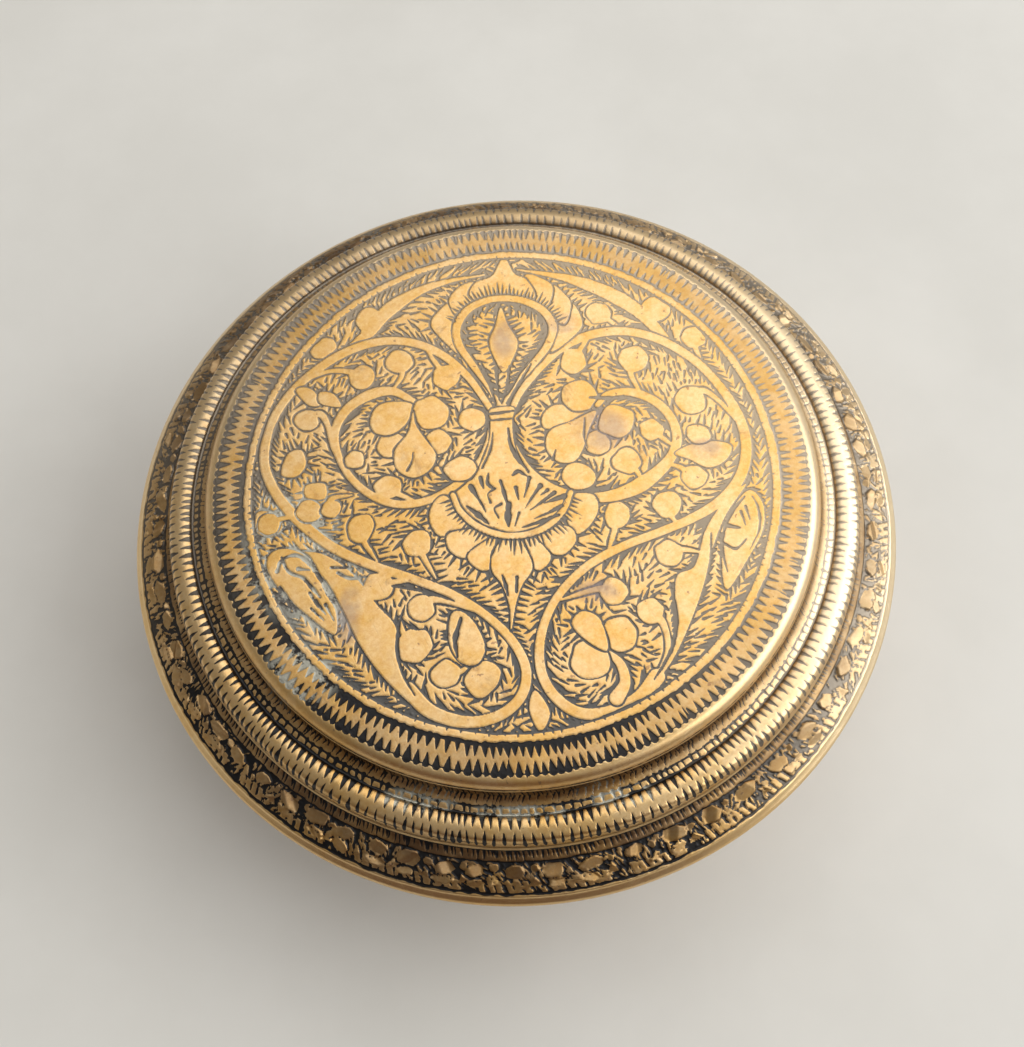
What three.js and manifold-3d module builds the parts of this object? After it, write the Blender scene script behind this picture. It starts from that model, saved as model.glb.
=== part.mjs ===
// A round brass spice box (masala dabba). A stepped lid lifts off a straight-sided body, which holds
// seven loose cups and a small spoon. Millimetres, +Z up, origin under the middle of the foot.
import * as THREE from "three";
import * as BufferGeometryUtils from "three/addons/utils/BufferGeometryUtils.js";
import Module from "manifold-3d";

const wasm = await Module();
wasm.setup();

// Driving dimensions.
const largeSides = 60; // facets round the lid and the body
const cupSides = 24; // facets round a cup
const gap = 0.3; // left between pieces that touch

const foot = { innerRadius: 46.2, outerRadius: 50.4, height: 1.9 };

const body = {
  wallRadius: 55.3,
  wall: 1.7, // thickness of the wall
  underside: foot.height + gap,
  base: 1.6, // thickness of the base
  cornerRadius: 6.2, // outside corner between base and wall
  innerCorner: 4.6,
  beadRadius: 0.9, // two turned beads frame the wall's engraved panel
  lowerBeadZ: 10.6,
  upperBeadZ: 30.2,
  mouthZ: 36,
};

const mouthRing = { outerRadius: 58.6, height: 2.4 };

const lid = {
  rimRadius: 60,
  rimThickness: 2,
  rimEdge: 0.95, // radius of the rim's rounded edge
  bandOuterRadius: 58.4, // the sloping engraved band
  bandInnerRadius: 54.5,
  bandLowZ: 0.75, // these heights are above the top of the rim
  bandHighZ: 2.3,
  ringRadius: 52.8, // the convex middle ring
  ringRound: 2.6,
  ringMiddleZ: 4.9,
  coveRadius: 2.4, // the hollow between the middle ring and the raised top
  coveFloorZ: 7,
  topRadius: 45.6,
  shoulder: 1.5,
  topZ: 11.4,
  sheet: 1.4, // thickness of the metal
};

const collar = { outerRadius: 53.1, thickness: 1.3, height: 4.2 };

const cup = {
  ringRadius: 35, // from the box's axis to the middle of each outer cup
  outerCount: 6,
  rimRadius: 17.1,
  bead: 0.9,
  baseRadius: 9.4,
  corner: 5,
  height: 26.4,
  wall: 1.1,
};

const spoon = {
  bowlX: -31,
  bowlLength: 20,
  bowlWidth: 14.6,
  bowlDepth: 3.6,
  bowlWall: 1,
  handleEndX: 25,
  neckWidth: 3.4,
  endWidth: 6.4,
  thickness: 1.6,
};

// Places worked out from them.
const rimTop = body.mouthZ + gap + lid.rimThickness;
const floorZ = body.underside + body.base;
const cupZ = floorZ + gap;
const spoonZ = cupZ + cup.height + gap;
const mouthRadius = body.wallRadius - body.wall;

const engravedBrass = new THREE.MeshStandardMaterial({ color: 0xb98a45, roughness: 0.38, metalness: 1 });
const plainBrass = new THREE.MeshStandardMaterial({ color: 0xc79a52, roughness: 0.32, metalness: 1 });
const cupBrass = new THREE.MeshStandardMaterial({ color: 0xd2a85c, roughness: 0.28, metalness: 1 });

const point = (radius, z) => new THREE.Vector2(radius, z);

// Points along an arc in a profile, with both ends, from one angle to another in degrees.
function arc(radius, z, size, from, to, steps) {
  return Array.from({ length: steps + 1 }, (_, i) => {
    const angle = THREE.MathUtils.degToRad(from + ((to - from) * i) / steps);
    return point(radius + size * Math.cos(angle), z + size * Math.sin(angle));
  });
}

// A solid of revolution about +Z. The profile runs anticlockwise, seen with the axis on its left.
function turned(profile, sides) {
  const geometry = new THREE.LatheGeometry(profile, sides);
  return geometry.rotateX(Math.PI / 2);
}

function ring(profile) {
  return turned([...profile, profile[0]], largeSides);
}

function part(name, geometry, material) {
  const mesh = new THREE.Mesh(geometry, material);
  mesh.name = name;
  return mesh;
}

function toSolid(geometry) {
  const bare = geometry.clone();
  bare.deleteAttribute("normal");
  bare.deleteAttribute("uv");
  const merged = BufferGeometryUtils.mergeVertices(bare, 1e-3);
  const corners = merged.index.array;
  const kept = [];
  for (let i = 0; i < corners.length; i += 3) {
    const [a, b, c] = corners.slice(i, i + 3);
    if (a !== b && b !== c && c !== a) kept.push(a, b, c);
  }
  return new wasm.Manifold(
    new wasm.Mesh({
      numProp: 3,
      vertProperties: merged.attributes.position.array,
      triVerts: new Uint32Array(kept),
    }),
  );
}

function toGeometry(solid) {
  const mesh = solid.getMesh();
  return new THREE.BufferGeometry()
    .setAttribute("position", new THREE.BufferAttribute(mesh.vertProperties, 3))
    .setIndex(new THREE.BufferAttribute(mesh.triVerts, 1));
}

// The ring soldered under the base, which the box stands on.
function footRing() {
  const { innerRadius, outerRadius, height } = foot;
  const lip = 0.6;
  return ring([
    point(innerRadius, 0),
    point(outerRadius - lip, 0),
    point(outerRadius, lip),
    point(outerRadius - 2 * lip, height),
    point(innerRadius, height),
  ]);
}

function bodyShell() {
  const { wallRadius, underside, cornerRadius, innerCorner, beadRadius, mouthZ } = body;
  const bead = (z) => arc(wallRadius, z, beadRadius, -90, 90, 4);
  return turned(
    [
      point(0, underside),
      ...arc(wallRadius - cornerRadius, underside + cornerRadius, cornerRadius, -90, 0, 5),
      ...bead(body.lowerBeadZ),
      ...bead(body.upperBeadZ),
      point(wallRadius, mouthZ),
      point(mouthRadius, mouthZ),
      ...arc(mouthRadius - innerCorner, floorZ + innerCorner, innerCorner, 0, -90, 4),
      point(0, floorZ),
    ],
    largeSides,
  );
}

// The flange soldered round the mouth, which the lid's rim rests on.
function mouthFlange() {
  const round = mouthRing.height / 2;
  const innerRadius = body.wallRadius + gap;
  return ring([
    point(innerRadius, body.mouthZ - mouthRing.height),
    ...arc(mouthRing.outerRadius - round, body.mouthZ - round, round, -90, 90, 6),
    point(innerRadius, body.mouthZ),
  ]);
}

function lidShell() {
  const z = (height) => rimTop + height;
  const edgeZ = z(-lid.rimThickness / 2);
  const seatZ = z(-lid.rimThickness);
  const wallFoot = lid.topRadius + lid.coveRadius; // where the cove meets the middle ring
  const ringCentre = lid.ringRadius - lid.ringRound;
  const underTop = lid.topZ - lid.sheet;
  const underRing = lid.coveFloorZ - lid.sheet;
  const outside = [
    point(mouthRadius + gap, seatZ),
    ...arc(lid.rimRadius - lid.rimEdge, edgeZ, lid.rimEdge, -90, 60, 5),
    point(lid.bandOuterRadius, z(lid.bandLowZ)),
    point((lid.bandOuterRadius + lid.bandInnerRadius) / 2, z(0.62 * lid.bandHighZ + 0.38 * lid.bandLowZ)),
    point(lid.bandInnerRadius, z(lid.bandHighZ)),
    point(lid.ringRadius + 0.4, z(lid.ringMiddleZ - 1.8)),
    ...arc(ringCentre, z(lid.ringMiddleZ), lid.ringRound, -15, 130, 6),
    ...arc(wallFoot, z(lid.coveFloorZ + lid.coveRadius), lid.coveRadius, 260, 180, 4),
    ...arc(lid.topRadius - lid.shoulder, z(lid.topZ - lid.shoulder), lid.shoulder, 0, 90, 4),
    point(0, z(lid.topZ)),
  ];
  const inside = [
    point(0, z(underTop)),
    point(lid.topRadius - lid.shoulder, z(underTop)),
    point(lid.topRadius - lid.sheet, z(underTop - lid.shoulder)),
    point(lid.topRadius + 0.6, z(underRing + 1)),
    point(wallFoot, z(underRing)),
    point(ringCentre, z(underRing)),
    point(lid.ringRadius - lid.sheet, z(lid.ringMiddleZ - 1.2)),
    point(lid.ringRadius - lid.sheet + 0.5, z(1.4)),
  ];
  return turned([...inside, ...outside], largeSides);
}

// The locating ring soldered inside the lid, which drops into the body's mouth.
function lidCollar() {
  const top = rimTop - lid.rimThickness + 0.7;
  const { outerRadius, thickness, height } = collar;
  return ring([
    point(outerRadius - thickness, top - height),
    point(outerRadius, top - height),
    point(outerRadius, top),
    point(outerRadius - thickness, top),
  ]);
}

function cupShell() {
  const { rimRadius, bead, baseRadius, corner, height, wall } = cup;
  const wallTop = rimRadius - bead;
  const beadZ = height - bead;
  return turned(
    [
      point(0, 0),
      ...arc(baseRadius, corner, corner, -90, -10, 3),
      point(wallTop, beadZ - bead),
      ...arc(wallTop, beadZ, bead, -60, 90, 3),
      point(wallTop - wall, beadZ),
      ...arc(baseRadius, corner, corner - wall, -10, -90, 2),
      point(0, wall),
    ],
    cupSides,
  );
}

// Bowl and handle in one piece, lying along X with the handle's underside at z = 0.
function spoonSolid() {
  const { bowlX, bowlLength, bowlWidth, bowlDepth, bowlWall, thickness } = spoon;
  const half = bowlWidth / 2;
  const steps = 4;
  const dish = (radius, depth, z) =>
    Array.from({ length: steps + 1 }, (_, i) => {
      const share = i / steps;
      return point(radius * share, z - depth * (1 - share * share));
    });
  const profile = [
    ...dish(half, bowlDepth, thickness - bowlWall),
    ...dish(half - bowlWall, bowlDepth, thickness).reverse(),
  ];
  const bowl = turned(profile, cupSides)
    .scale(bowlLength / bowlWidth, 1, 1)
    .translate(bowlX, 0, 0);
  const neckX = bowlX + bowlLength / 2 - 1;
  const endRound = spoon.endWidth / 2;
  const outline = new THREE.Shape();
  outline.moveTo(neckX, -spoon.neckWidth / 2);
  outline.lineTo(spoon.handleEndX - endRound, -endRound);
  outline.absarc(spoon.handleEndX - endRound, 0, endRound, -Math.PI / 2, Math.PI / 2);
  outline.lineTo(neckX, spoon.neckWidth / 2);
  const handle = new THREE.ExtrudeGeometry(outline, {
    depth: thickness - 0.1,
    bevelEnabled: false,
    curveSegments: 10,
  });
  return toGeometry(toSolid(bowl).add(toSolid(handle)));
}

const group = new THREE.Group();
group.add(
  part("foot_ring", footRing(), plainBrass),
  part("body_shell", bodyShell(), engravedBrass),
  part("mouth_ring", mouthFlange(), plainBrass),
  part("lid_shell", lidShell(), engravedBrass),
  part("lid_collar", lidCollar(), plainBrass),
);

const cupGeometry = cupShell();
const middleCup = part("cup_middle", cupGeometry, cupBrass);
middleCup.position.set(0, 0, cupZ);
group.add(middleCup);
for (let i = 0; i < cup.outerCount; i++) {
  const angle = (i * 2 * Math.PI) / cup.outerCount;
  const outerCup = part(`cup_${i + 1}`, cupGeometry, cupBrass);
  outerCup.position.set(cup.ringRadius * Math.cos(angle), cup.ringRadius * Math.sin(angle), cupZ);
  group.add(outerCup);
}

const spoonMesh = part("spoon", spoonSolid(), plainBrass);
spoonMesh.position.z = spoonZ;
group.add(spoonMesh);

export default group;
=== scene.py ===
# A round engraved brass spice box. The turned shapes are built from their profiles, the graver's cuts are
# drawn in plain millimetres and laid on them, and the old brass is painted with shader nodes.
import bpy
import numpy as np
from mathutils import Matrix, Vector


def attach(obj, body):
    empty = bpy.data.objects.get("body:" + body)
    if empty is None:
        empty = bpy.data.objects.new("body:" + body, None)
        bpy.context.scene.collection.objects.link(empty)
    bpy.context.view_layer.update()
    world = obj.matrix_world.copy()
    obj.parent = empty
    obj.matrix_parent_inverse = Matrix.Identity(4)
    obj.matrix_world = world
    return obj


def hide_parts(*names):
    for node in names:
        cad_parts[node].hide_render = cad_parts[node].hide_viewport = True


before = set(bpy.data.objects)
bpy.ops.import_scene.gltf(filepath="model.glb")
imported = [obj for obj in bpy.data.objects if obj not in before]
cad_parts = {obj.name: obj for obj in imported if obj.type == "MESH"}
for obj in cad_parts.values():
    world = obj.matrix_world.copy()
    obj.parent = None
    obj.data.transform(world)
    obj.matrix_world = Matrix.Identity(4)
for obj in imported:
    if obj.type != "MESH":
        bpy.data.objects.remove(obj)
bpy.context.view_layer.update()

scene = bpy.context.scene
scene.view_settings.view_transform = "Standard"
mm = 0.001


# The graver: cuts are drawn on flat plates first, in millimetres, and laid on the turned shapes later.


class Plate:
    # cut is 0 on untouched metal and 1 at the bottom of a cut; left marks the metal of finished shapes
    def __init__(self, low, high, pitch, wraps=False):
        size = np.array(high, float) - low
        columns, rows = np.ceil(size / pitch).astype(int) + (0 if wraps else 1)
        self.low, self.wraps = np.array(low, float), wraps
        self.pitch = np.array([size[0] / columns if wraps else pitch, pitch])
        self.length = size[0]
        self.cut = np.zeros((rows + 1, columns), np.float32)
        self.left = np.zeros(self.cut.shape, bool)
        self.lift = np.zeros_like(self.cut)  # how far a shape stands above the rest, in millimetres

    def wrapped(self, column):
        columns = self.cut.shape[1]
        return column % columns if self.wraps else np.clip(column, 0, columns - 1)

    def cells(self, points):
        # nearest row and column of each point, kept on the plate
        place = np.round((points - self.low) / self.pitch).astype(int)
        return np.clip(place[..., 1], 0, self.cut.shape[0] - 1), self.wrapped(place[..., 0])

    def sample(self, x, y, grid=None):
        # the cut, or another grid, at any place, blended from the four samples round it
        grid = self.cut if grid is None else grid
        column, row = (x - self.low[0]) / self.pitch[0], (y - self.low[1]) / self.pitch[1]
        row = np.clip(row, 0, self.cut.shape[0] - 1.001)
        left, under = np.floor(column).astype(int), np.floor(row).astype(int)
        across, up = column - left, row - under
        here, beside = self.wrapped(left), self.wrapped(left + 1)
        low = grid[under, here] * (1 - across) + grid[under, beside] * across
        high = grid[under + 1, here] * (1 - across) + grid[under + 1, beside] * across
        return low * (1 - up) + high * up

    def soften(self):
        # takes the edge off every cut, as polishing does
        for axis in (0, 1):
            ahead, behind = np.roll(self.cut, 1, axis), np.roll(self.cut, -1, axis)
            self.cut = 0.5 * self.cut + 0.25 * (ahead + behind)

    def stamp(self, points, radii, soft=0.06):
        # a soft-edged disc at each point; gives the flat index and strength of every sample it reaches
        radii = np.broadcast_to(radii, len(points))
        reach = int(np.ceil((radii.max() + soft) / self.pitch.min()))
        step = np.arange(-reach, reach + 1)
        column = np.round((points[:, 0] - self.low[0]) / self.pitch[0]).astype(int)[:, None, None] + step
        row = np.round((points[:, 1] - self.low[1]) / self.pitch[1]).astype(int)[:, None, None] + step[:, None]
        column, row = np.broadcast_arrays(column, row)
        across = column * self.pitch[0] + self.low[0] - points[:, 0, None, None]
        along = row * self.pitch[1] + self.low[1] - points[:, 1, None, None]
        strength = np.clip((radii[:, None, None] - np.hypot(across, along)) / soft + 0.5, 0, 1)
        rows, columns = self.cut.shape
        kept = (strength > 0) & (row >= 0) & (row < rows)
        if self.wraps:
            column = column % columns
        else:
            kept &= (column >= 0) & (column < columns)
        return row[kept] * columns + column[kept], strength[kept].astype(np.float32)

    def darken(self, points, radii, ground=False):
        # cuts a groove; with ground, only where no shape has been left standing
        place, strength = self.stamp(points, radii)
        if ground:
            strength = strength * ~self.left.reshape(-1)[place]
        np.maximum.at(self.cut.reshape(-1), place, strength)

    def clear(self, cover):
        # takes the cuts off a shape and keeps later ground cuts off it
        self.cut *= 1 - cover
        self.left |= cover > 0.5

    def inside(self, outline):
        # the samples inside a closed outline
        cover = np.zeros_like(self.cut)
        place = np.round((outline - self.low) / self.pitch).astype(int)
        lowRow, highRow = np.clip([place[:, 1].min(), place[:, 1].max() + 1], 0, len(cover))
        columns = np.arange(place[:, 0].min(), place[:, 0].max() + 2)
        x = self.low[0] + self.pitch[0] * columns
        y = self.low[1] + self.pitch[1] * np.arange(lowRow, highRow)
        odd = np.zeros((len(y), len(x)), bool)
        for (ax, ay), (bx, by) in zip(outline, np.roll(outline, -1, axis=0)):
            if ay == by:
                continue
            crosses = (y > min(ay, by)) & (y <= max(ay, by))
            edge = ax + (y[crosses] - ay) * (bx - ax) / (by - ay)
            odd[crosses] ^= x[None, :] < edge[:, None]
        if not self.wraps:
            odd[:, (columns < 0) | (columns >= cover.shape[1])] = False
        np.maximum.at(cover[lowRow:highRow], (slice(None), self.wrapped(columns)), odd)
        return cover


def smoothRoute(points, closed=False, step=0.12):
    # a Catmull-Rom curve through a few chosen points, in even steps
    points = np.array(points, float)
    if closed:
        knots = np.vstack([points[-1], points, points[:2]])
    else:
        knots = np.vstack([2 * points[0] - points[1], points, 2 * points[-1] - points[-2]])
    share = np.linspace(0, 1, 16, endpoint=False)[:, None]
    pieces = []
    for a, b, c, d in zip(knots, knots[1:], knots[2:], knots[3:]):
        square, cube = 2 * a - 5 * b + 4 * c - d, 3 * b - a - 3 * c + d
        pieces.append(0.5 * (2 * b + (c - a) * share + square * share**2 + cube * share**3))
    curve = np.vstack(pieces + [knots[-2][None]])
    lengths = np.concatenate([[0], np.cumsum(np.hypot(*np.diff(curve, axis=0).T))])
    count = max(int(lengths[-1] / step), 4)
    even = np.linspace(0, lengths[-1], count + 1)[: count if closed else count + 1]
    return np.column_stack([np.interp(even, lengths, curve[:, k]) for k in (0, 1)])


def spread(values, count):
    # a few values drawn out evenly over many steps
    return np.interp(np.linspace(0, 1, count), np.linspace(0, 1, len(values)), values)


def waver(count, rng, every=12):
    # smooth random numbers between -1 and 1, new ones every few steps
    knots = rng.uniform(-1, 1, count // every + 3)
    return np.interp(np.arange(count) / every, np.arange(len(knots)), knots)


def tangents(route, closed=False):
    if closed:
        along = np.roll(route, -1, axis=0) - np.roll(route, 1, axis=0)
    else:
        along = np.gradient(route, axis=0)
    return along / np.maximum(np.hypot(*along.T), 1e-9)[:, None]


def band(points, widths, lean=1, barbs=True):
    # a stem: its route, its width at even shares of its length, and which way the cuts beside it lean
    route = smoothRoute(points)
    return {"route": route, "radius": spread(widths, len(route)) / 2, "lean": lean, "barbs": barbs}


def blob(points, lean=0, barbs=True, smooth=True):
    # a leaf or petal: its outline, anticlockwise
    outline = smoothRoute(points, closed=True) if smooth else np.array(points, float)
    return {"outline": outline, "lean": lean, "barbs": barbs}


def berry(x, y, radius, rng, stretch=1.0, turn=0.0, strokes=10):
    # a round left by a few strokes of a flat graver, never quite true
    angles = np.linspace(0, 2 * np.pi, strokes, endpoint=False) + rng.uniform(0, 1) + rng.uniform(-0.15, 0.15, strokes)
    reach = radius * (1 + 0.09 * rng.uniform(-1, 1, strokes))
    along, across = reach * np.cos(angles) * stretch, reach * np.sin(angles)
    turn = np.radians(turn)
    points = np.column_stack([x + along * np.cos(turn) - across * np.sin(turn),
                              y + along * np.sin(turn) + across * np.cos(turn)])
    return blob(points, rng.choice([-1, 1]), rng.random() < 0.6)


def drawGroup(plate, shapes, rng, line=0.3, roots=None):
    # every outline of the group is cut first and every inside cleared after, so that the shapes join
    for shape in shapes:
        route = shape["outline"] if "outline" in shape else shape["route"]
        cutWidth = line * (1 + 0.45 * waver(len(route), rng))
        plate.darken(route, shape.get("radius", 0) + cutWidth)
    for shape in shapes:
        if "outline" in shape:
            plate.clear(plate.inside(shape["outline"]))
        else:
            cover = np.zeros(plate.cut.size, np.float32)
            place, strength = plate.stamp(shape["route"], shape["radius"])
            np.maximum.at(cover, place, strength)
            plate.clear(cover.reshape(plate.cut.shape))
    if roots is not None:
        for shape in shapes:
            if shape["barbs"]:
                roots.extend(shapeRoots(shape))


def shapeRoots(shape):
    # where the short cuts beside a shape start: place, outward direction, the direction they lean and, for a
    # stem, how far over the open ground they reach
    if "outline" in shape:
        outline = shape["outline"]
        along = tangents(outline, closed=True)
        area = np.sum(outline[:, 0] * np.roll(outline[:, 1], -1) - np.roll(outline[:, 0], -1) * outline[:, 1])
        outward = np.column_stack([along[:, 1], -along[:, 0]]) * np.sign(area)
        return [(outline, outward, along * shape["lean"])]
    route, along = shape["route"], tangents(shape["route"])
    outward = np.column_stack([along[:, 1], -along[:, 0]])
    sides = []
    for side in (1, -1):
        edge = route + side * outward * shape["radius"][:, None]
        sides.append((edge, side * outward, along * shape["lean"], 0.52))
    return sides


def growBarbs(plate, roots, rng, look):
    # wedge cuts from every outline into the ground between the shapes, which leave a fern with a plain vein
    starts, ways, reaches = [], [], []
    for edge, outward, lean, *reach in roots:
        steps = np.hypot(*np.diff(edge, axis=0, append=edge[-1:]).T)
        travelled = np.cumsum(steps)
        if travelled[-1] < look["pitch"]:
            continue
        places = np.arange(0.5 * look["pitch"], travelled[-1], look["pitch"])
        places = places + rng.uniform(-0.16, 0.16, len(places)) * look["pitch"]
        index = np.clip(np.searchsorted(travelled, places), 0, len(edge) - 1)
        slant = np.radians(look["slant"] + rng.uniform(-9, 9, len(index)))[:, None]
        way = outward[index] * np.cos(slant) + lean[index] * np.sin(slant)
        way /= np.hypot(*way.T)[:, None]
        starts.append(edge[index] + outward[index] * 0.2)
        ways.append(way)
        reaches.append(np.full(len(index), reach[0] if reach else look["share"]))
    starts, ways, reaches = np.vstack(starts), np.vstack(ways), np.concatenate(reaches)
    steps = np.arange(0.35, look["longest"] / reaches.min(), 0.08)
    row, column = plate.cells(starts[:, None] + ways[:, None] * steps[None, :, None])
    blocked = plate.left[row, column]
    free = np.where(blocked.any(1), steps[blocked.argmax(1)], steps[-1])
    length = np.minimum(look["longest"] * rng.uniform(0.8, 1.1, len(free)), reaches * free)
    kept = (length > look["shortest"]) & (rng.random(len(length)) < 0.9)
    share = np.linspace(0, 1, 14)
    starts, ways, length = starts[kept], ways[kept], length[kept]
    thickness = look["thick"] * rng.uniform(0.75, 1.25, len(length))
    points = starts[:, None] + ways[:, None] * (length[:, None] * share)[..., None]
    radii = thickness[:, None] * (1 - share) ** 0.8 + look["thin"]
    plate.darken(points.reshape(-1, 2), radii.reshape(-1), ground=True)
    return starts, ways


def stroke(plate, points, widths, rng, shake=0.03):
    # one pass of the graver, swelling and tapering as widths say
    route = smoothRoute(points, step=0.1)
    width = spread(widths, len(route)) * (1 + 0.25 * waver(len(route), rng, 6))
    route = route + shake * np.column_stack([waver(len(route), rng), waver(len(route), rng)])
    plate.darken(route, np.maximum(width / 2, 0.04))


def fleckGround(plate, rng, barbs, look):
    # single wedge cuts wherever the ground is still open, each along its neighbours
    roots, ways = barbs
    steps = np.arange(0.08, look["longest"], 0.08)
    share = np.linspace(0, 1, 12)

    def taken(row, column):
        return plate.left[row, column] | (plate.cut[row, column] > 0.25)

    for spot in rng.uniform(look["low"], look["high"], (look["tries"], 2)):
        if taken(*plate.cells(spot)):
            continue
        way = ways[np.argmin(((roots - spot) ** 2).sum(1))] + rng.normal(0, 0.12, 2)
        way /= np.hypot(*way)
        across = np.array([-way[1], way[0]])
        busy = taken(*plate.cells(spot + np.array([way, -way, across, -across])[:, None] * steps[None, :, None]))
        ahead, back, left, right = np.where(busy.any(1), steps[busy.argmax(1)], look["longest"])
        if min(left, right) < look["clear"] or ahead + back < look["shortest"]:
            continue
        start = spot - way * max(min(back, 0.8) - 0.2, 0)
        length = min(ahead + np.hypot(*(spot - start)) - 0.15, look["longest"]) * rng.uniform(0.75, 1)
        points = start + way * (length * share)[:, None]
        plate.darken(points, look["thick"] * (1 - share) ** 0.7 * rng.uniform(0.7, 1.1) + 0.03, ground=True)


def straightCuts(starts, ends, widths, shape):
    # points and radii along many straight cuts; shape gives their width, as a share, at even steps
    share = np.linspace(0, 1, 22)
    points = starts[:, None] + (ends - starts)[:, None] * share[None, :, None]
    radii = np.broadcast_to(widths, len(starts))[:, None] / 2 * spread(shape, len(share))
    return points.reshape(-1, 2), radii.reshape(-1)


def cuts(plate, starts, ends, widths, shape):
    points, radii = straightCuts(starts, ends, widths, shape)
    plate.darken(points, np.maximum(radii, 0.02))


def spare(plate, starts, ends, widths, shape):
    # slivers of metal left standing in a cut ground
    points, radii = straightCuts(starts, ends, widths, shape)
    place, strength = plate.stamp(points, radii, 0.08)
    np.minimum.at(plate.cut.reshape(-1), place, 1 - strength)


# The lid's pattern, in millimetres from the middle of the lid, x to the right and y to the back.
class Drawing:
    # a plate, the hand that draws on it and the roots of the short cuts that come last
    def __init__(self, plate, rng):
        self.plate, self.rng, self.roots = plate, rng, []

    def draw(self, *shapes, line=0.26):
        drawGroup(self.plate, shapes, self.rng, line, self.roots)

    def berry(self, x, y, radius, **shape):
        return berry(x, y, radius, self.rng, **shape)

    def fruit(self, x, y, radius, neck, **shape):
        # a berry with the stalk that joins it to its stem
        return [self.berry(x, y, radius, **shape), band([(x, y)] + neck, [1.4, 0.9, 0.7, 0.3], barbs=False)]

    def hold(self, outline, standing=True):
        # clears an area, and keeps the short cuts off it or lets them in
        cover = self.plate.inside(outline) > 0.5
        self.plate.left[cover], self.plate.cut[cover] = standing, 0


disc = {
    "radius": 38.5,  # to the line round the engraved top
    "barbs": {"pitch": 1.0, "slant": 52, "longest": 2.2, "shortest": 0.3, "share": 0.43, "thick": 0.26, "thin": 0.03},
    "flecks": {"low": -38, "high": 38, "tries": 15000, "clear": 0.44, "shortest": 1.0, "longest": 1.9, "thick": 0.2},
}
cupEdge = [(-8.4, -3.4), (-7.2, -6), (-4.6, -8.4), (-1.4, -9.7), (1.8, -9.8), (5.2, -8.6), (7.8, -6), (9, -3)]
finialEdge = [(-9.4, 26), (-7.6, 29.5), (-4.2, 31.4), (-1.2, 31.7), (2.2, 31.1), (5.5, 29.2), (7.2, 25.8)]


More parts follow.
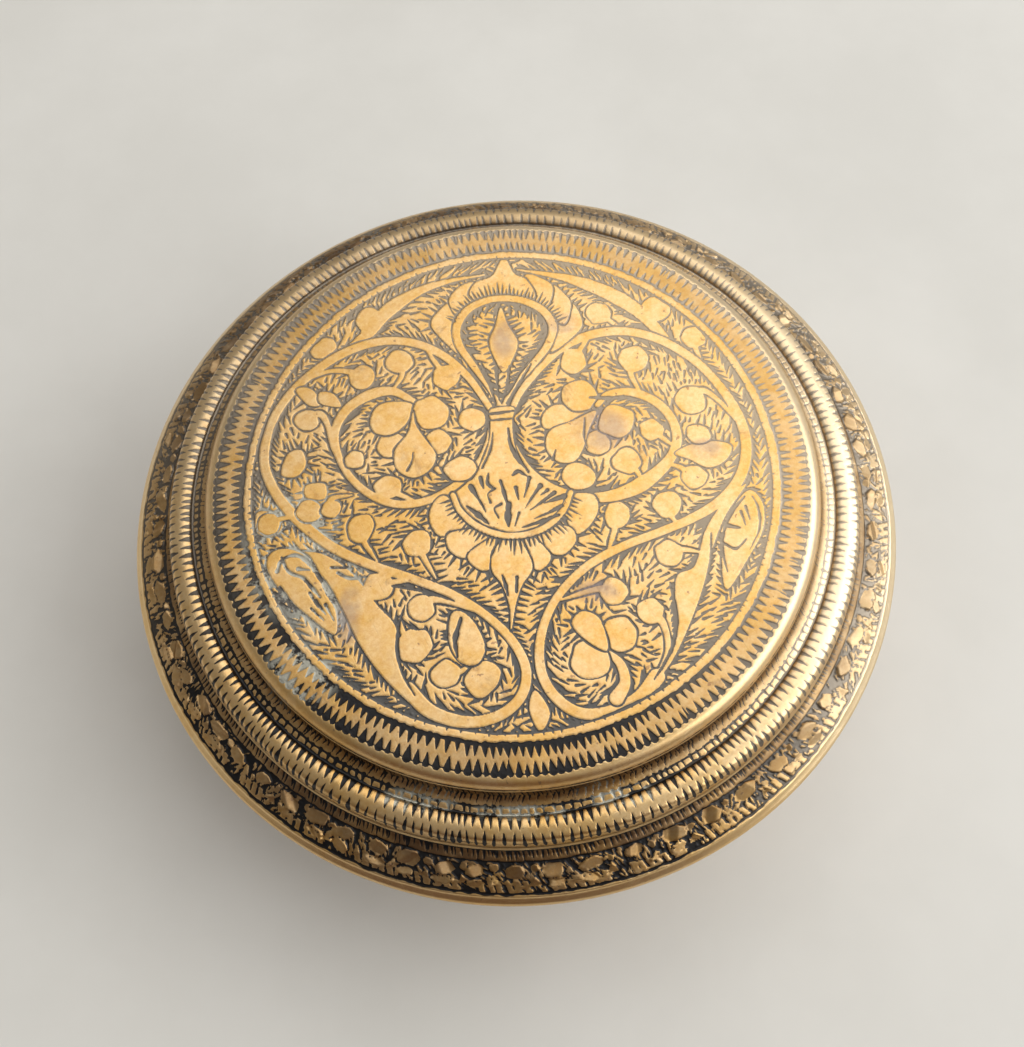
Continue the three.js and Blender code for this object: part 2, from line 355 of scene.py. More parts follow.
def drawLoops(lid):
    # the two loops that start at the tie and end in the lower medallions, with the leaves that swell out of them
    leftLoop = band(
        [(-2.6, 10), (-4.1, 12.6), (-7, 16.9), (-11, 20.6), (-15.8, 22.8), (-21, 23), (-26, 21.2), (-30.4, 18),
         (-34, 14), (-36.4, 9.3), (-37.2, 4.6), (-36.6, 0.4), (-34, -4.2), (-30, -8.4), (-25.4, -11.8),
         (-19.8, -14.4), (-14, -16.4), (-8.2, -18.7), (-3.2, -21.8), (0.6, -25.5), (2.6, -29.6), (2, -33.4),
         (-1, -36.1), (-5.5, -37), (-10.3, -35.6), (-13.6, -32.6)],
        [0.9, 1.3, 1.5, 1.6, 1.4, 1.5, 1.7, 1.5, 1.3, 1.2, 1.4, 1.6, 2.2],
    )
    rightLoop = band(
        [(-0.1, 10), (1.3, 13.6), (4.3, 18), (8, 21.8), (12.6, 24.1), (18, 24.6), (23.4, 22.9), (28.4, 19.2),
         (32, 14.6), (34.5, 9.4), (35.2, 4.4), (34, -0.4), (31, -4.2), (26.6, -7.1), (21.5, -9.4), (16.6, -11.4),
         (12, -14), (8.5, -17.2), (6, -20.9), (4.6, -25.4), (4.7, -29.8), (6.5, -33.3), (9.8, -35.6),
         (14, -35.5), (18, -33.6), (20.6, -30.6)],
        [0.9, 1.3, 1.6, 1.5, 1.4, 1.6, 1.6, 1.3, 1.3, 1.2, 1.4, 1.6, 2.2],
    )
    leftLeaf = blob(
        [(-12.4, -35), (-16.8, -31.2), (-20.6, -26.4), (-23.6, -21), (-26.4, -16.6), (-31.4, -12.9), (-27.4, -12.6),
         (-22.8, -15.4), (-18.6, -20.4), (-15.8, -23.6), (-15.4, -28), (-13.4, -32.4)],
        lean=-1,
    )
    rightLeaf = blob(
        [(19, -33), (22.6, -28.6), (25.2, -23.6), (27.6, -17.6), (29.4, -11.4), (31.6, -6.4), (34.8, -1.6),
         (31, -5), (28.4, -9), (26.6, -14.4), (24, -16), (23.5, -20.6), (23.2, -25.6), (21.2, -30)],
        lean=1,
    )
    # the long stems of the upper rim
    leftSpray = band([(-25.8, 21.3), (-22.8, 24.6), (-20, 28.6), (-15.6, 32.1), (-10.6, 34.2), (-4.6, 35.4)],
                     [1.4, 2.2, 2.6, 1.6, 0.8, 0.3])
    rightSpray = band([(24.6, 22.1), (22.4, 25.4), (19.4, 28.8), (14.8, 32), (8.6, 34.7), (0.6, 36.4)],
                      [1.4, 2, 2.6, 2.2, 1, 0.3])

    lid.draw(blob([(-37.4, -6.4), (-36.9, -9.4), (-34.7, -10), (-33.3, -8.6), (-33.9, -6.8), (-35.8, -6)]))
    lid.draw(*lid.fruit(-22.9, 27.2, 2, [(-23.4, 25.4), (-24.3, 23.2)], stretch=1.15, turn=70), leftSpray)
    lid.draw(*lid.fruit(22.7, 28.9, 2.3, [(22.2, 26.6), (23.2, 24)]), rightSpray)
    lid.draw(lid.berry(-29.8, 21.9, 1.8, stretch=1.25, turn=30))
    lid.draw(*lid.fruit(28.4, 23.4, 1.9, [(28.6, 21.4), (29.4, 19)]))
    lid.draw(*lid.fruit(13.6, 28, 1.9, [(15.6, 26.4), (17.2, 25)], stretch=1.1))

    lid.draw(
        leftLoop,
        leftLeaf,
        *lid.fruit(-18.4, -17.6, 2.1, [(-16.6, -17), (-14, -16.8)]),
        *lid.fruit(-21.8, -8.8, 1.9, [(-21, -11), (-19, -13.8)], stretch=1.25, turn=80),
        *lid.fruit(-13.3, -11, 2.1, [(-12.4, -13), (-10.4, -16.4)]),
        *lid.fruit(-35.4, -8, 1.7, [(-33.6, -7.2), (-31.6, -7)]),
        *lid.fruit(-23.3, 16.6, 2.1, [(-25.4, 17.6), (-28.8, 17.6), (-32.4, 15.8)]),
        *lid.fruit(-10.2, 16.6, 2.2, [(-11.4, 18.4), (-13.6, 21.8)]),
        *lid.fruit(-12.3, -20.9, 1.9, [(-10.8, -19.6), (-7.4, -20.2), (-2.8, -22)]),
    )
    lid.draw(
        rightLoop,
        rightLeaf,
        *lid.fruit(23, -12.6, 2, [(25, -12), (27.6, -12.4)]),
        *lid.fruit(23.1, -4.9, 2.1, [(23.6, -6.8), (24.6, -8)]),
        *lid.fruit(15.8, -6.6, 1.9, [(15.4, -8.6), (14.2, -12.6)], stretch=1.2, turn=75),
        *lid.fruit(27.3, 12.4, 2.4, [(29.2, 14), (31.8, 12), (34.4, 8.2)]),
        *lid.fruit(9.6, 19.3, 2, [(10.4, 21), (12.2, 23.8)], stretch=1.15, turn=80),
        *lid.fruit(20, -21.2, 1.9, [(21.8, -23.2), (22.2, -27), (20.4, -30.8)]),
        *lid.fruit(15, -18.3, 2, [(12.6, -18), (7.4, -19.6)]),
    )


def drawScrolls(lid):
    # the two round scrolls under the tie
    lid.draw(
        band([(-2.9, 9), (-3.4, 5.2), (-4.9, 1.6), (-8, -1.8), (-11.9, -4.2), (-16.2, -4.9), (-20.2, -3.6),
              (-23.8, -0.5), (-26.1, 3.6), (-26.7, 7.4), (-25.2, 10.9), (-22, 13.4), (-18.4, 14.1), (-15.1, 12.4)],
             [0.7, 1, 1.2, 1.3, 1.2, 1.1, 1.5, 1.9, 1]),
        *lid.fruit(-31.2, 9.1, 1.9, [(-29.4, 10.2), (-28, 8.4), (-26.8, 4.4), (-24.6, 0.4)]),
        *lid.fruit(-17.6, 19.3, 2.1, [(-17, 17), (-18.4, 14.1)]),
        *lid.fruit(-18.2, -2.1, 1.9, [(-16.6, -3.2), (-13.4, -4.6)], stretch=1.1, turn=20),
    )
    lid.draw(
        band([(-0.1, 9), (0.5, 4.8), (2.7, 0.9), (6, -2), (10, -3.6), (14.2, -3.7), (18.2, -2.4), (21.8, 0.2),
              (24.2, 3.2), (25, 6.4), (24, 9.8), (21.6, 12.4), (18.2, 13.8), (14.8, 13.4), (13.2, 11.6)],
             [0.7, 1, 1.1, 1.6, 2.4, 1.5, 1.4, 1.5, 0.9]),
        *lid.fruit(18.9, 19.6, 2.4, [(18.4, 17), (20, 13.2)]),
        *lid.fruit(21.2, 7.3, 1.8, [(22.8, 6), (24.6, 4.4)]),
        *lid.fruit(17.4, 2.2, 2.1, [(18.6, 0.8), (19.8, -1.4)]),
        *lid.fruit(27.2, -0.4, 1.9, [(25, 1.2), (23, 1.6)]),
    )
    lid.draw(
        blob([(24.6, 3.4), (27.4, 5), (30.6, 5.4), (33, 4.6), (32, 2.2), (29.4, 1), (26.6, 2.4)]),
        line=0.24,
    )
    lid.draw(lid.berry(28.2, 6.6, 1.6, stretch=1.15))


def drawFlowers(lid):
    # left flower
    lid.draw(lid.berry(-5.9, 9.2, 2))
    lid.draw(lid.berry(-23.4, 2.4, 1.5))
    lid.draw(lid.berry(-7.4, 0.9, 2.1, stretch=1.15, turn=20))
    lid.draw(lid.berry(-18, 4.8, 2.2), line=0.24)
    lid.draw(lid.berry(-11, 5.3, 2.1), line=0.24)
    lid.draw(blob([(-15.1, 11.6), (-17.6, 12.3), (-20.4, 11.6), (-21.5, 9), (-20.6, 6.9), (-18.2, 6.6), (-16, 8.4)]))
    lid.draw(lid.berry(-12.3, 10.3, 2.7))
    lid.draw(blob([(-15, 10.6), (-15.6, 7), (-17.4, 4), (-17, 0.9), (-14.4, -0.6), (-11.9, 0.8), (-11.2, 3.3),
               (-13, 6), (-14.5, 8.4)]))
    # right flower
    lid.draw(lid.berry(10.2, -0.4, 2.1, stretch=1.2, turn=-30))
    lid.draw(lid.berry(13, 5.1, 2), line=0.24)
    lid.draw(blob([(12.6, 10.9), (9.4, 11.4), (6.6, 11.6), (4.8, 9.8), (5.2, 7.6), (8.4, 8.2)]), line=0.24)
    lid.draw(blob([(12.9, 10.6), (9.2, 8.8), (5.9, 7.2), (5.4, 4.2), (7.2, 2), (9.6, 2.1), (11, 4.4), (11.8, 7.4)]))
    lid.draw(lid.berry(10.4, 13.2, 2.7))
    lid.draw(lid.berry(16, 8.7, 2.7))


def drawSmallLeaves(lid):
    # small leaves left of the left scroll
    lid.draw(blob([(-33.4, 14.2), (-31.2, 11.7), (-29.4, 11.8), (-30.4, 14), (-32.2, 14.9)]), line=0.24)
    lid.draw(blob([(-29.4, 12), (-26.2, 11.4), (-27.4, 13.6), (-29.6, 14)]), line=0.24)
    lid.draw(blob([(-34.3, 0), (-33.6, 3.4), (-31.6, 4), (-30.7, 1.6), (-32, -0.4)]))
    lid.draw(blob([(-30.4, -1.8), (-27.6, -1.6), (-27.4, -4), (-30.2, -3.8)]), line=0.24)
    lid.draw(lid.berry(-29.6, -6, 1.9), line=0.24)
    lid.draw(*lid.fruit(-26.3, -5.7, 1.5, [(-26.4, -4), (-23.4, -3.4)]), line=0.24)


def drawMedallions(lid):
    # lower left medallion
    lid.draw(*lid.fruit(-13, -26.4, 2.5, [(-14.6, -24.6), (-15.3, -22.4)]))
    lid.draw(*lid.fruit(-8.4, -30.4, 2, [(-6.4, -30), (-5.2, -29)]))
    lid.draw(lid.berry(-3.3, -31, 2.3, stretch=1.15, turn=60))
    lid.draw(
        blob([(-8, -21.8), (-8.2, -25.6), (-6.6, -28.6), (-4.2, -29), (-3.1, -26.6), (-4.4, -23.4), (-6.4, -21.4)]),
    )
    # lower right medallion
    lid.draw(band([(13.9, -27.2), (15.6, -28.8), (16.2, -31.4), (15, -33.6)], [0.8, 1.3, 1.5, 2]))
    lid.draw(lid.berry(15.6, -24.6, 2.5))
    lid.draw(lid.berry(11.5, -28.2, 2.7))
    lid.draw(blob([(13.7, -27), (10.6, -25.2), (9, -23), (10.4, -21.3), (12.6, -22), (13.7, -24.6)]))

    # curled leaves at both sides
    lid.draw(
        blob([(-24.3, -24.8), (-28.4, -22), (-32.4, -18.6), (-34.9, -15), (-34.6, -12.6), (-32.2, -11.9),
              (-29, -13.4), (-26.6, -17), (-24.6, -20.8)], lean=-1),
    )
    lid.draw(
        blob([(30.9, -18), (30.5, -13), (31.2, -8.6), (33, -4.8), (35.3, -2.6), (37, -5), (36.6, -9), (34.4, -13)],
             lean=1),
    )


def drawFinial(lid):
    # the ring of the finial, its crown and the flame in it
    for petal in (
        [(10.9, 27.2), (10.4, 24.6), (6, 21), (6.6, 27), (9.2, 30)],
        [(9.3, 29.6), (8.2, 31.8), (6.2, 33.4), (4.6, 30), (8, 26)],
        [(6.4, 32.9), (4.4, 34.8), (1.8, 35.2), (0, 30), (5, 29)],
        [(-9.6, 30.6), (-12.8, 27), (-11.8, 24.2), (-7, 20), (-8, 28)],
        [(-6.2, 33.9), (-8.8, 33), (-10.2, 30.2), (-8, 27), (-5, 30)],
        [(-1.6, 38.8), (0.2, 35.7), (2.2, 34.4), (3.4, 31), (-1.2, 29), (-6.6, 31), (-6.2, 33.8), (-3.4, 35.3)],
    ):
        lid.draw(blob(petal))
    outer = [(3, 19), (6.6, 23.4), (5.6, 28), (-1, 31), (-8.6, 28), (-9.2, 23.4), (-6, 19)]
    lid.hold(smoothRoute(outer, closed=True))
    lid.draw(
        band([(-1.5, 11), (-3.6, 15), (-6.4, 19.2), (-8.4, 22.6), (-8.7, 26), (-6.9, 29), (-3.9, 30.6), (-1.2, 30.9),
              (1.8, 30.4), (4.8, 28.6), (6.4, 25.6), (5.6, 22.2), (3.2, 18.6), (0.4, 14.8), (-1.3, 11)],
             [0.7, 1.1, 1.4, 1.2, 1.4, 1.1, 0.7], lean=1, barbs=False),
    )
    inner = smoothRoute([(-1.5, 13), (-5.6, 19.4), (-7.7, 23), (-7.8, 26), (-6, 28.6), (-3.4, 29.8), (-1.2, 30),
                         (1.4, 29.6), (4, 27.8), (5.4, 25.4), (4.6, 22.4), (2, 18.6)], closed=True)
    lid.hold(inner, standing=False)
    lid.plate.darken(inner, 0.17)
    upright = np.sign(inner[:, :1] + 1.2) * tangents(inner, closed=True)
    _, outward, _ = shapeRoots({"outline": inner, "lean": 0})[0]
    lid.roots.append((inner, -outward, upright * 0.9, 0.6))
    flame = [(-1.9, 29.2), (-2.7, 25.8), (-3.6, 22.8), (-2.6, 19.6), (-1.2, 17.4), (0.2, 19.8), (0.9, 22.8),
             (-0.7, 26)]
    lid.draw(blob(flame))


def drawCup(lid):
    # tie, neck and cup
    lid.draw(blob([(-3.1, 10.9), (-3.1, 8.6), (-3.3, 5), (-4.6, 1), (-5.6, -2), (-2, -3), (3.4, -2.4), (2.3, 0.8),
               (0.7, 4.6), (0.2, 8.6), (0.4, 11.2)], barbs=False), line=0.22)
    for petal in (
        [(-9.4, -3.6), (-11.4, -5), (-11.6, -7.8), (-9.7, -10), (-6, -8)],
        [(-8.6, -9.4), (-8.8, -11.8), (-6.8, -13.3), (-4.6, -12.4), (-3, -9)],
        [(-5.8, -12.6), (-4.2, -15.1), (-2, -14.4), (0, -9)],
        [(9.3, -9.4), (11.6, -8.4), (13, -5.6), (12, -3.2), (8, -4)],
        [(5.4, -12), (7.8, -12.8), (9.7, -10.6), (8.6, -8.4), (4, -8.6)],
        [(2.6, -13.4), (4.4, -15.2), (6, -12.8), (2, -9)],
    ):
        lid.draw(blob(petal))
    lid.draw(blob([(-2.2, -12.4), (-2.4, -15.2), (-0.9, -17.4), (0.2, -20.6), (0.5, -24.2), (1.1, -20.4), (2, -17.4),
               (3.4, -15), (2.7, -12.4), (0.4, -9)]))
    lid.hold(np.array(cupEdge + [(5.6, -1.6), (2.6, 0.2), (-0.6, -1.2), (-4.6, 0)], float))
    lid.draw(band(cupEdge, [0.8, 1, 1, 1, 0.8], barbs=False), line=0.24)

    # bottom bud
    lid.draw(blob([(3.9, -32.6), (3.1, -35.2), (4.6, -38.2), (5.9, -35.6)]))


def drawRim(lid, distance):
    # the line round the disc, and nothing beyond it
    lid.plate.cut[distance > disc["radius"]] = 0
    lid.plate.left |= distance > disc["radius"]
    angles = np.linspace(0, 2 * np.pi, 2600, endpoint=False)
    outward = np.column_stack([np.cos(angles), np.sin(angles)])
    along = np.column_stack([-np.sin(angles), np.cos(angles)])
    edge = outward * disc["radius"]
    lid.plate.darken(edge, 0.19 * (1 + 0.4 * waver(len(edge), lid.rng)))
    lid.roots.append((edge, -outward, along * np.where(edge[:, :1] < 1.5, 1, -1), 0.66))


# the tie, the stems over it, the palm leaf in the cup, the drop and the leaves at both sides
singleCuts = [
    ([(-3.1, 10.1), (0.4, 10.6)], [0.26, 0.36, 0.2]),
    ([(-3, 9), (0.4, 9.3)], [0.2, 0.3, 0.18]),
    ([(-4.9, 19.4), (-3.4, 15.6), (-2.3, 11.8)], [0.2, 0.5, 0.2]),
    ([(-2.4, 18), (-2.1, 15), (-1.8, 12.4)], [0.5, 0.2, 0.1]),
    ([(-0.3, 18.4), (-0.6, 15.4), (-1.2, 12.6)], [0.3, 0.4, 0.1]),
    ([(3, 18.8), (1, 15), (-0.7, 11.9)], [0.2, 0.36, 0.16]),
    ([(-0.4, 7.6), (0, 5), (1, 2.8), (2.8, 0.4)], [0.2, 0.4, 0.5, 0.2]),
    ([(-2.7, 7), (-3, 4), (-4.2, 1)], [0.1, 0.26, 0.2]),
    ([(-1.4, -1.1), (-0.9, -2.8), (-0.4, -4.6)], [0.3, 0.4, 0.24]),
    ([(-0.1, -4.8), (-0.2, -6.4), (-0.1, -8.4)], [0.5, 0.76, 0.2]),
    ([(-6.3, -5.2), (-4.8, -6.4), (-3, -8)], [0.2, 0.62, 0.2]),
    ([(-5.8, -2), (-4.6, -4), (-3.4, -6.2)], [0.6, 0.3, 0.1]),
    ([(-3.2, 0.2), (-3.3, -1.4), (-2.6, -2.2)], [0.1, 0.4, 0.3]),
    ([(-4.4, -0.6), (-3.9, -2.4)], [0.5, 0.16]),
    ([(-2.2, -2.4), (-3.2, -3.2), (-2.8, -4.6)], [0.3, 0.16, 0.3]),
    ([(-1.2, -4.8), (-2.2, -5.6), (-1.6, -7)], [0.36, 0.14, 0.26]),
    ([(0.4, -0.2), (1.2, 0.5), (2, 0), (2.6, -0.4)], [0.3, 0.5, 0.3, 0.1]),
    ([(0.9, -2.2), (1.3, -4.2)], [0.4, 0.14]),
    ([(2.9, -0.6), (2.6, -2), (2.1, -3.8)], [0.5, 0.3, 0.1]),
    ([(4.5, -1.9), (3.3, -3.8), (2.3, -5.6)], [0.5, 0.3, 0.1]),
    ([(5.6, -2.6), (4.6, -3.4)], [0.4, 0.1]),
    ([(6.6, -3), (4.6, -4.6), (3, -5.9)], [0.46, 0.3, 0.1]),
    ([(8.1, -3.6), (6.6, -4.1), (5.1, -4.7)], [0.66, 0.4, 0.1]),
    ([(7.7, -5.1), (5.8, -6.2), (3.6, -7.2)], [0.44, 0.3, 0.1]),
    ([(7.2, -6.6), (4.6, -7.6), (1.8, -8.6)], [0.3, 0.44, 0.1]),
    ([(1.4, -6.2), (0.8, -8.4)], [0.34, 0.1]),
    ([(-0.9, -15.9), (-0.4, -17.4), (0, -19)], [0.2, 0.4, 0.14]),
    ([(1.2, -16.2), (1.2, -18.4)], [0.36, 0.26]),
    ([(-33.4, -15.4), (-32.8, -13.6), (-30.8, -12.9), (-28.8, -14.2), (-26.4, -17.6), (-24, -21.6)],
     [0.4, 0.3, 0.5, 0.3, 0.4, 0.2]),
    ([(-33, -13.2), (-31.8, -15.4), (-29.6, -16.4), (-28.2, -17.8), (-26.8, -19.4)], [0.2, 0.4, 0.3, 0.44, 0.16]),
    ([(-32.8, -17.8), (-30.6, -20.6), (-28, -22.8), (-25.6, -24.6)], [0.3, 0.44, 0.34, 0.16]),
    ([(-28.4, -18.6), (-27, -20.8)], [0.36, 0.1]),
    ([(-27.4, -19.8), (-25.8, -21.9)], [0.36, 0.1]),
    ([(-28, -21), (-26, -22.8)], [0.3, 0.1]),
    ([(-26, -20.4), (-24.6, -22.8)], [0.36, 0.1]),
    ([(-30.4, -15), (-28.6, -15.2)], [0.4, 0.1]),
    ([(34.4, -3.6), (32.4, -6.2), (31, -9.4), (30.7, -12.4), (31.2, -15.4)], [0.2, 0.34, 0.26, 0.3, 0.14]),
    ([(30.9, -11), (32.6, -11.8), (34.2, -10.3)], [0.24, 0.34, 0.14]),
    ([(31.8, -8.3), (33.4, -8.6)], [0.44, 0.2]),
    ([(33.7, -6), (34.2, -8.2)], [0.34, 0.1]),
    ([(34.4, -5.2), (35, -7.6)], [0.3, 0.1]),
    ([(35.5, -3.6), (36.2, -5.4), (36.2, -8.6), (34.6, -12)], [0.14, 0.28, 0.2, 0.1]),
    ([(-15.2, -22.4), (-15.4, -26.4), (-14.4, -30.4), (-12.6, -33.4)], [0.2, 0.44, 0.3, 0.14]),
    ([(-6.6, -22.4), (-7.3, -25.4), (-6.9, -28)], [0.3, 0.6, 0.2]),
    ([(23, -17), (23.6, -22), (22.8, -26.6), (20.2, -31)], [0.2, 0.44, 0.36, 0.14]),
    ([(29.2, -9.4), (28.8, -14), (27.4, -18.8)], [0.2, 0.3, 0.12]),
    ([(-16.6, -17.6), (-12.6, -18.2), (-7.6, -19.8)], [0.2, 0.44, 0.14]),
    ([(-25.6, -14.8), (-22.4, -14.9)], [0.3, 0.16]),
    ([(-24.6, -15.6), (-22.8, -16.4), (-20.4, -16.2)], [0.3, 0.44, 0.2]),
    ([(-15.4, 0.6), (-14.8, 2), (-14.6, 3.6)], [0.3, 0.16, 0.1]),
    ([(6.8, 4), (6.4, 2.4)], [0.1, 0.34]),
    ([(11.2, 9.4), (11.1, 6.2), (11.6, 4.2)], [0.14, 0.3, 0.1]),
    ([(12, 12.9), (16, 12.7), (17.2, 13.2)], [0.2, 0.6, 0.2]),
]


def cutFringes(lid):
    # the fringes outside the cup's edge and round the finial
    for edge, side, longest in ((cupEdge, 1, 3.1), (finialEdge, -1, 2.7)):
        route = smoothRoute(edge)
        outward = side * np.column_stack([tangents(route)[:, 1], -tangents(route)[:, 0]])
        index = np.arange(6, len(route) - 4, 5)
        size = lid.rng.uniform(0.9, longest, len(index))[:, None]
        starts = route[index] + outward[index] * (0.62 if side > 0 else 0.1)
        cuts(lid.plate, starts, starts + outward[index] * size + lid.rng.uniform(-0.25, 0.25, (len(index), 2)),
             lid.rng.uniform(0.3, 0.5, len(index)), [1, 0.8, 0.55, 0.3, 0.1])


def engraveTop(rng):
    lid = Drawing(Plate((-46, -46), (46, 46), 0.06), rng)
    plate = lid.plate
    rows, columns = plate.cut.shape
    x = plate.low[0] + plate.pitch[0] * np.arange(columns)
    y = plate.low[1] + plate.pitch[1] * np.arange(rows)
    distance = np.hypot(x[None, :], y[:, None])
    plate.left |= distance > disc["radius"] - 0.1
    drawLoops(lid)
    drawScrolls(lid)
    drawFlowers(lid)
    drawSmallLeaves(lid)
    drawMedallions(lid)
    drawFinial(lid)
    drawCup(lid)
    drawRim(lid, distance)
    barbs = growBarbs(plate, lid.roots, rng, disc["barbs"])
    fleckGround(plate, rng, barbs, disc["flecks"])
    for points, widths in singleCuts:
        stroke(plate, points, 1.4 * np.array(widths), rng)
    cutFringes(lid)
    plate.soften()
    return plate


# The engraved borders. Each is drawn on a strip: x runs round the lid, y is the distance out from its middle
# measured along the metal, up and down every step.


def unevenPlaces(length, count, rng, shake=0.1):
    # places round a strip, spaced by eye
    steps = 1 + 0.2 * waver(count, rng, 7) + shake * rng.uniform(-1, 1, count)
    return np.cumsum(steps) / steps.sum() * length


def heavier(x, length, share=0.3):
    # cuts are drawn finer at the back and on the right, which leaves those sides lighter
    angle = 2 * np.pi * x / length
    return 1 - share * (0.6 * np.sin(angle) + 0.8 * np.cos(angle))


def ringLine(plate, y, width, rng, shake=0.05, gaps=0.0):
    # a line turned or chased all the way round
    x = np.arange(0, plate.length, 0.07)
    points = np.column_stack([x, y + shake * waver(len(x), rng, 14)])
    radii = width / 2 * (1 + 0.35 * waver(len(x), rng, 9)) * heavier(x, plate.length)
    if gaps:
        kept = waver(len(x), rng, 40) > 2 * gaps - 1
        points, radii = points[kept], radii[kept]
    plate.darken(points, radii)


def wedgeRow(plate, places, base, tip, widths, rng, lean=0.0, uneven=0.25):
    # triangular cuts side by side, which stand on a line and point to tip
    count = len(places)
    starts = np.column_stack([places, np.full(count, base)])
    ends = np.column_stack([
        places + lean + rng.uniform(-0.15, 0.15, count),
        tip + uneven * rng.uniform(-1, 1, count),
    ])
    cuts(plate, starts, ends, widths * heavier(places, plate.length), [1, 0.8, 0.6, 0.36, 0.1])


def between(places):
    # halfway from each place to the next; the last of them lies at the strip's end
    middles = (places + np.roll(places, -1)) / 2
    middles[-1] += places[-1] / 2
    return middles


# how many of each go round the lid
counts = {"teeth": 225, "nicks": 190, "notches": 262, "dashes": 520, "slivers": 3800, "leaves": 66}


def engraveTeeth(rng):
    # two rows of wedges that bite into each other, just inside the shoulder
    plate = Plate((0, 37.6), (2 * np.pi * 42.1, 46.2), 0.06, wraps=True)
    teeth, nicks = counts["teeth"], counts["nicks"]
    places = unevenPlaces(plate.length, teeth, rng)
    pitch = plate.length / teeth
    ringLine(plate, 40.05, 0.5, rng, shake=0.12)
    ringLine(plate, 43.95, 0.15, rng, shake=0.08)
    wide = pitch * rng.uniform(0.52, 0.86, teeth)
    wedgeRow(plate, places, 40.15, 41.75, wide, rng, lean=0.1, uneven=0.26)
    wide = pitch * rng.uniform(0.5, 0.84, teeth)
    wedgeRow(plate, between(places), 43.95, 42.35, wide, rng, lean=-0.12, uneven=0.3)
    extra = rng.choice(places, 90, replace=False)
    wedgeRow(plate, extra + 0.3, 43.6, 44.5, 0.22, rng, lean=0.1)
    wedgeRow(plate, extra[:16], 43.9, 41.4, 0.3, rng, lean=0.2)
    # the disc's own line has small nicks on its outer side
    places = unevenPlaces(plate.length, nicks, rng, 0.4)
    wedgeRow(plate, places, 38.5, 39.05, rng.uniform(0.2, 0.45, nicks), rng, uneven=0.2)
    plate.soften()
    return plate


def engraveRing(rng):
    # the hollow under the shoulder, the beaded strip at its foot and the rounded ring outside them
    plate = Plate((0, 46), (2 * np.pi * 50.4, 59), 0.06, wraps=True)
    ringLine(plate, 46.5, 0.12, rng, shake=0.02)
    ringLine(plate, 47.02, 0.2, rng, shake=0.03)
    for row, (low, high, count) in enumerate([(47.3, 49.2, 400), (48.4, 50.1, 380)]):
        places = unevenPlaces(plate.length, count, rng, 0.45)
        wedgeRow(plate, places, low, high, rng.uniform(0.16, 0.3, count), rng, lean=0.5 - row, uneven=0.4)
    # bead-like lumps left between short cuts
    ringLine(plate, 50.2, 0.24, rng, shake=0.08)
    count = counts["notches"]
    places = unevenPlaces(plate.length, count, rng, 0.3)
    wedgeRow(plate, places, 50.15, 51.25, rng.uniform(0.3, 0.62, count), rng, lean=0.1, uneven=0.15)
    ringLine(plate, 51.3, 0.44, rng, shake=0.06)
    # wedges on the inner half, spindles on the outer half and a scribed line that crosses these
    places = unevenPlaces(plate.length, count, rng)
    pitch = plate.length / count
    wedgeRow(plate, places, 51.35, 53.4, pitch * rng.uniform(0.36, 0.68, count), rng, lean=0.12, uneven=0.25)
    middles = between(places)
    low, high = 53.6 + rng.uniform(-0.3, 0.3, count), 56.1 + rng.uniform(-0.3, 0.3, count)
    lean = rng.uniform(-0.1, 0.25, count)
    wide = pitch * rng.uniform(0.26, 0.5, count)
    wide[rng.choice(count, 24, replace=False)] *= 1.5
    starts, ends = np.column_stack([middles - lean, low]), np.column_stack([middles + lean, high])
    cuts(plate, starts, ends, wide, [0.1, 0.45, 0.8, 1, 0.9, 0.25])
    ringLine(plate, 55.5, 0.1, rng, shake=0.05, gaps=0.35)
    ringLine(plate, 57.45, 0.16, rng, shake=0.03)
    ringLine(plate, 58.5, 0.22, rng, shake=0.03)
    plate.soften()
    return plate


def facet(plate, x, y, wide, high, rng, line=0.2, corners=None):
    # a leaf left standing as a small block, tipped its own way by the chisel
    if corners is None:
        corners = [(-1, 0.1), (-0.55, -0.9), (0.4, -1), (1, -0.3), (0.7, 0.8), (-0.35, 1)]
        corners = corners if rng.random() < 0.5 else [(-a, b) for a, b in corners[::-1]]
    points = np.array(corners) * (wide / 2, high / 2) * rng.uniform(0.75, 1.15, (len(corners), 2))
    turn = rng.uniform(-0.35, 0.35)
    points = points @ np.array([[np.cos(turn), np.sin(turn)], [-np.sin(turn), np.cos(turn)]]) + (x, y)
    drawGroup(plate, [blob(points, barbs=False, smooth=False)], rng, line)
    cover = plate.inside(points) > 0.5
    rows, columns = np.nonzero(cover)
    away = (columns * plate.pitch[0] - x + plate.length / 2) % plate.length - plate.length / 2
    up = rows * plate.pitch[1] + plate.low[1] - y
    tip = rng.normal(0, 0.24, 2)
    plate.lift[rows, columns] = np.clip(0.05 + tip[0] * away + tip[1] * up, -0.22, 0.28)


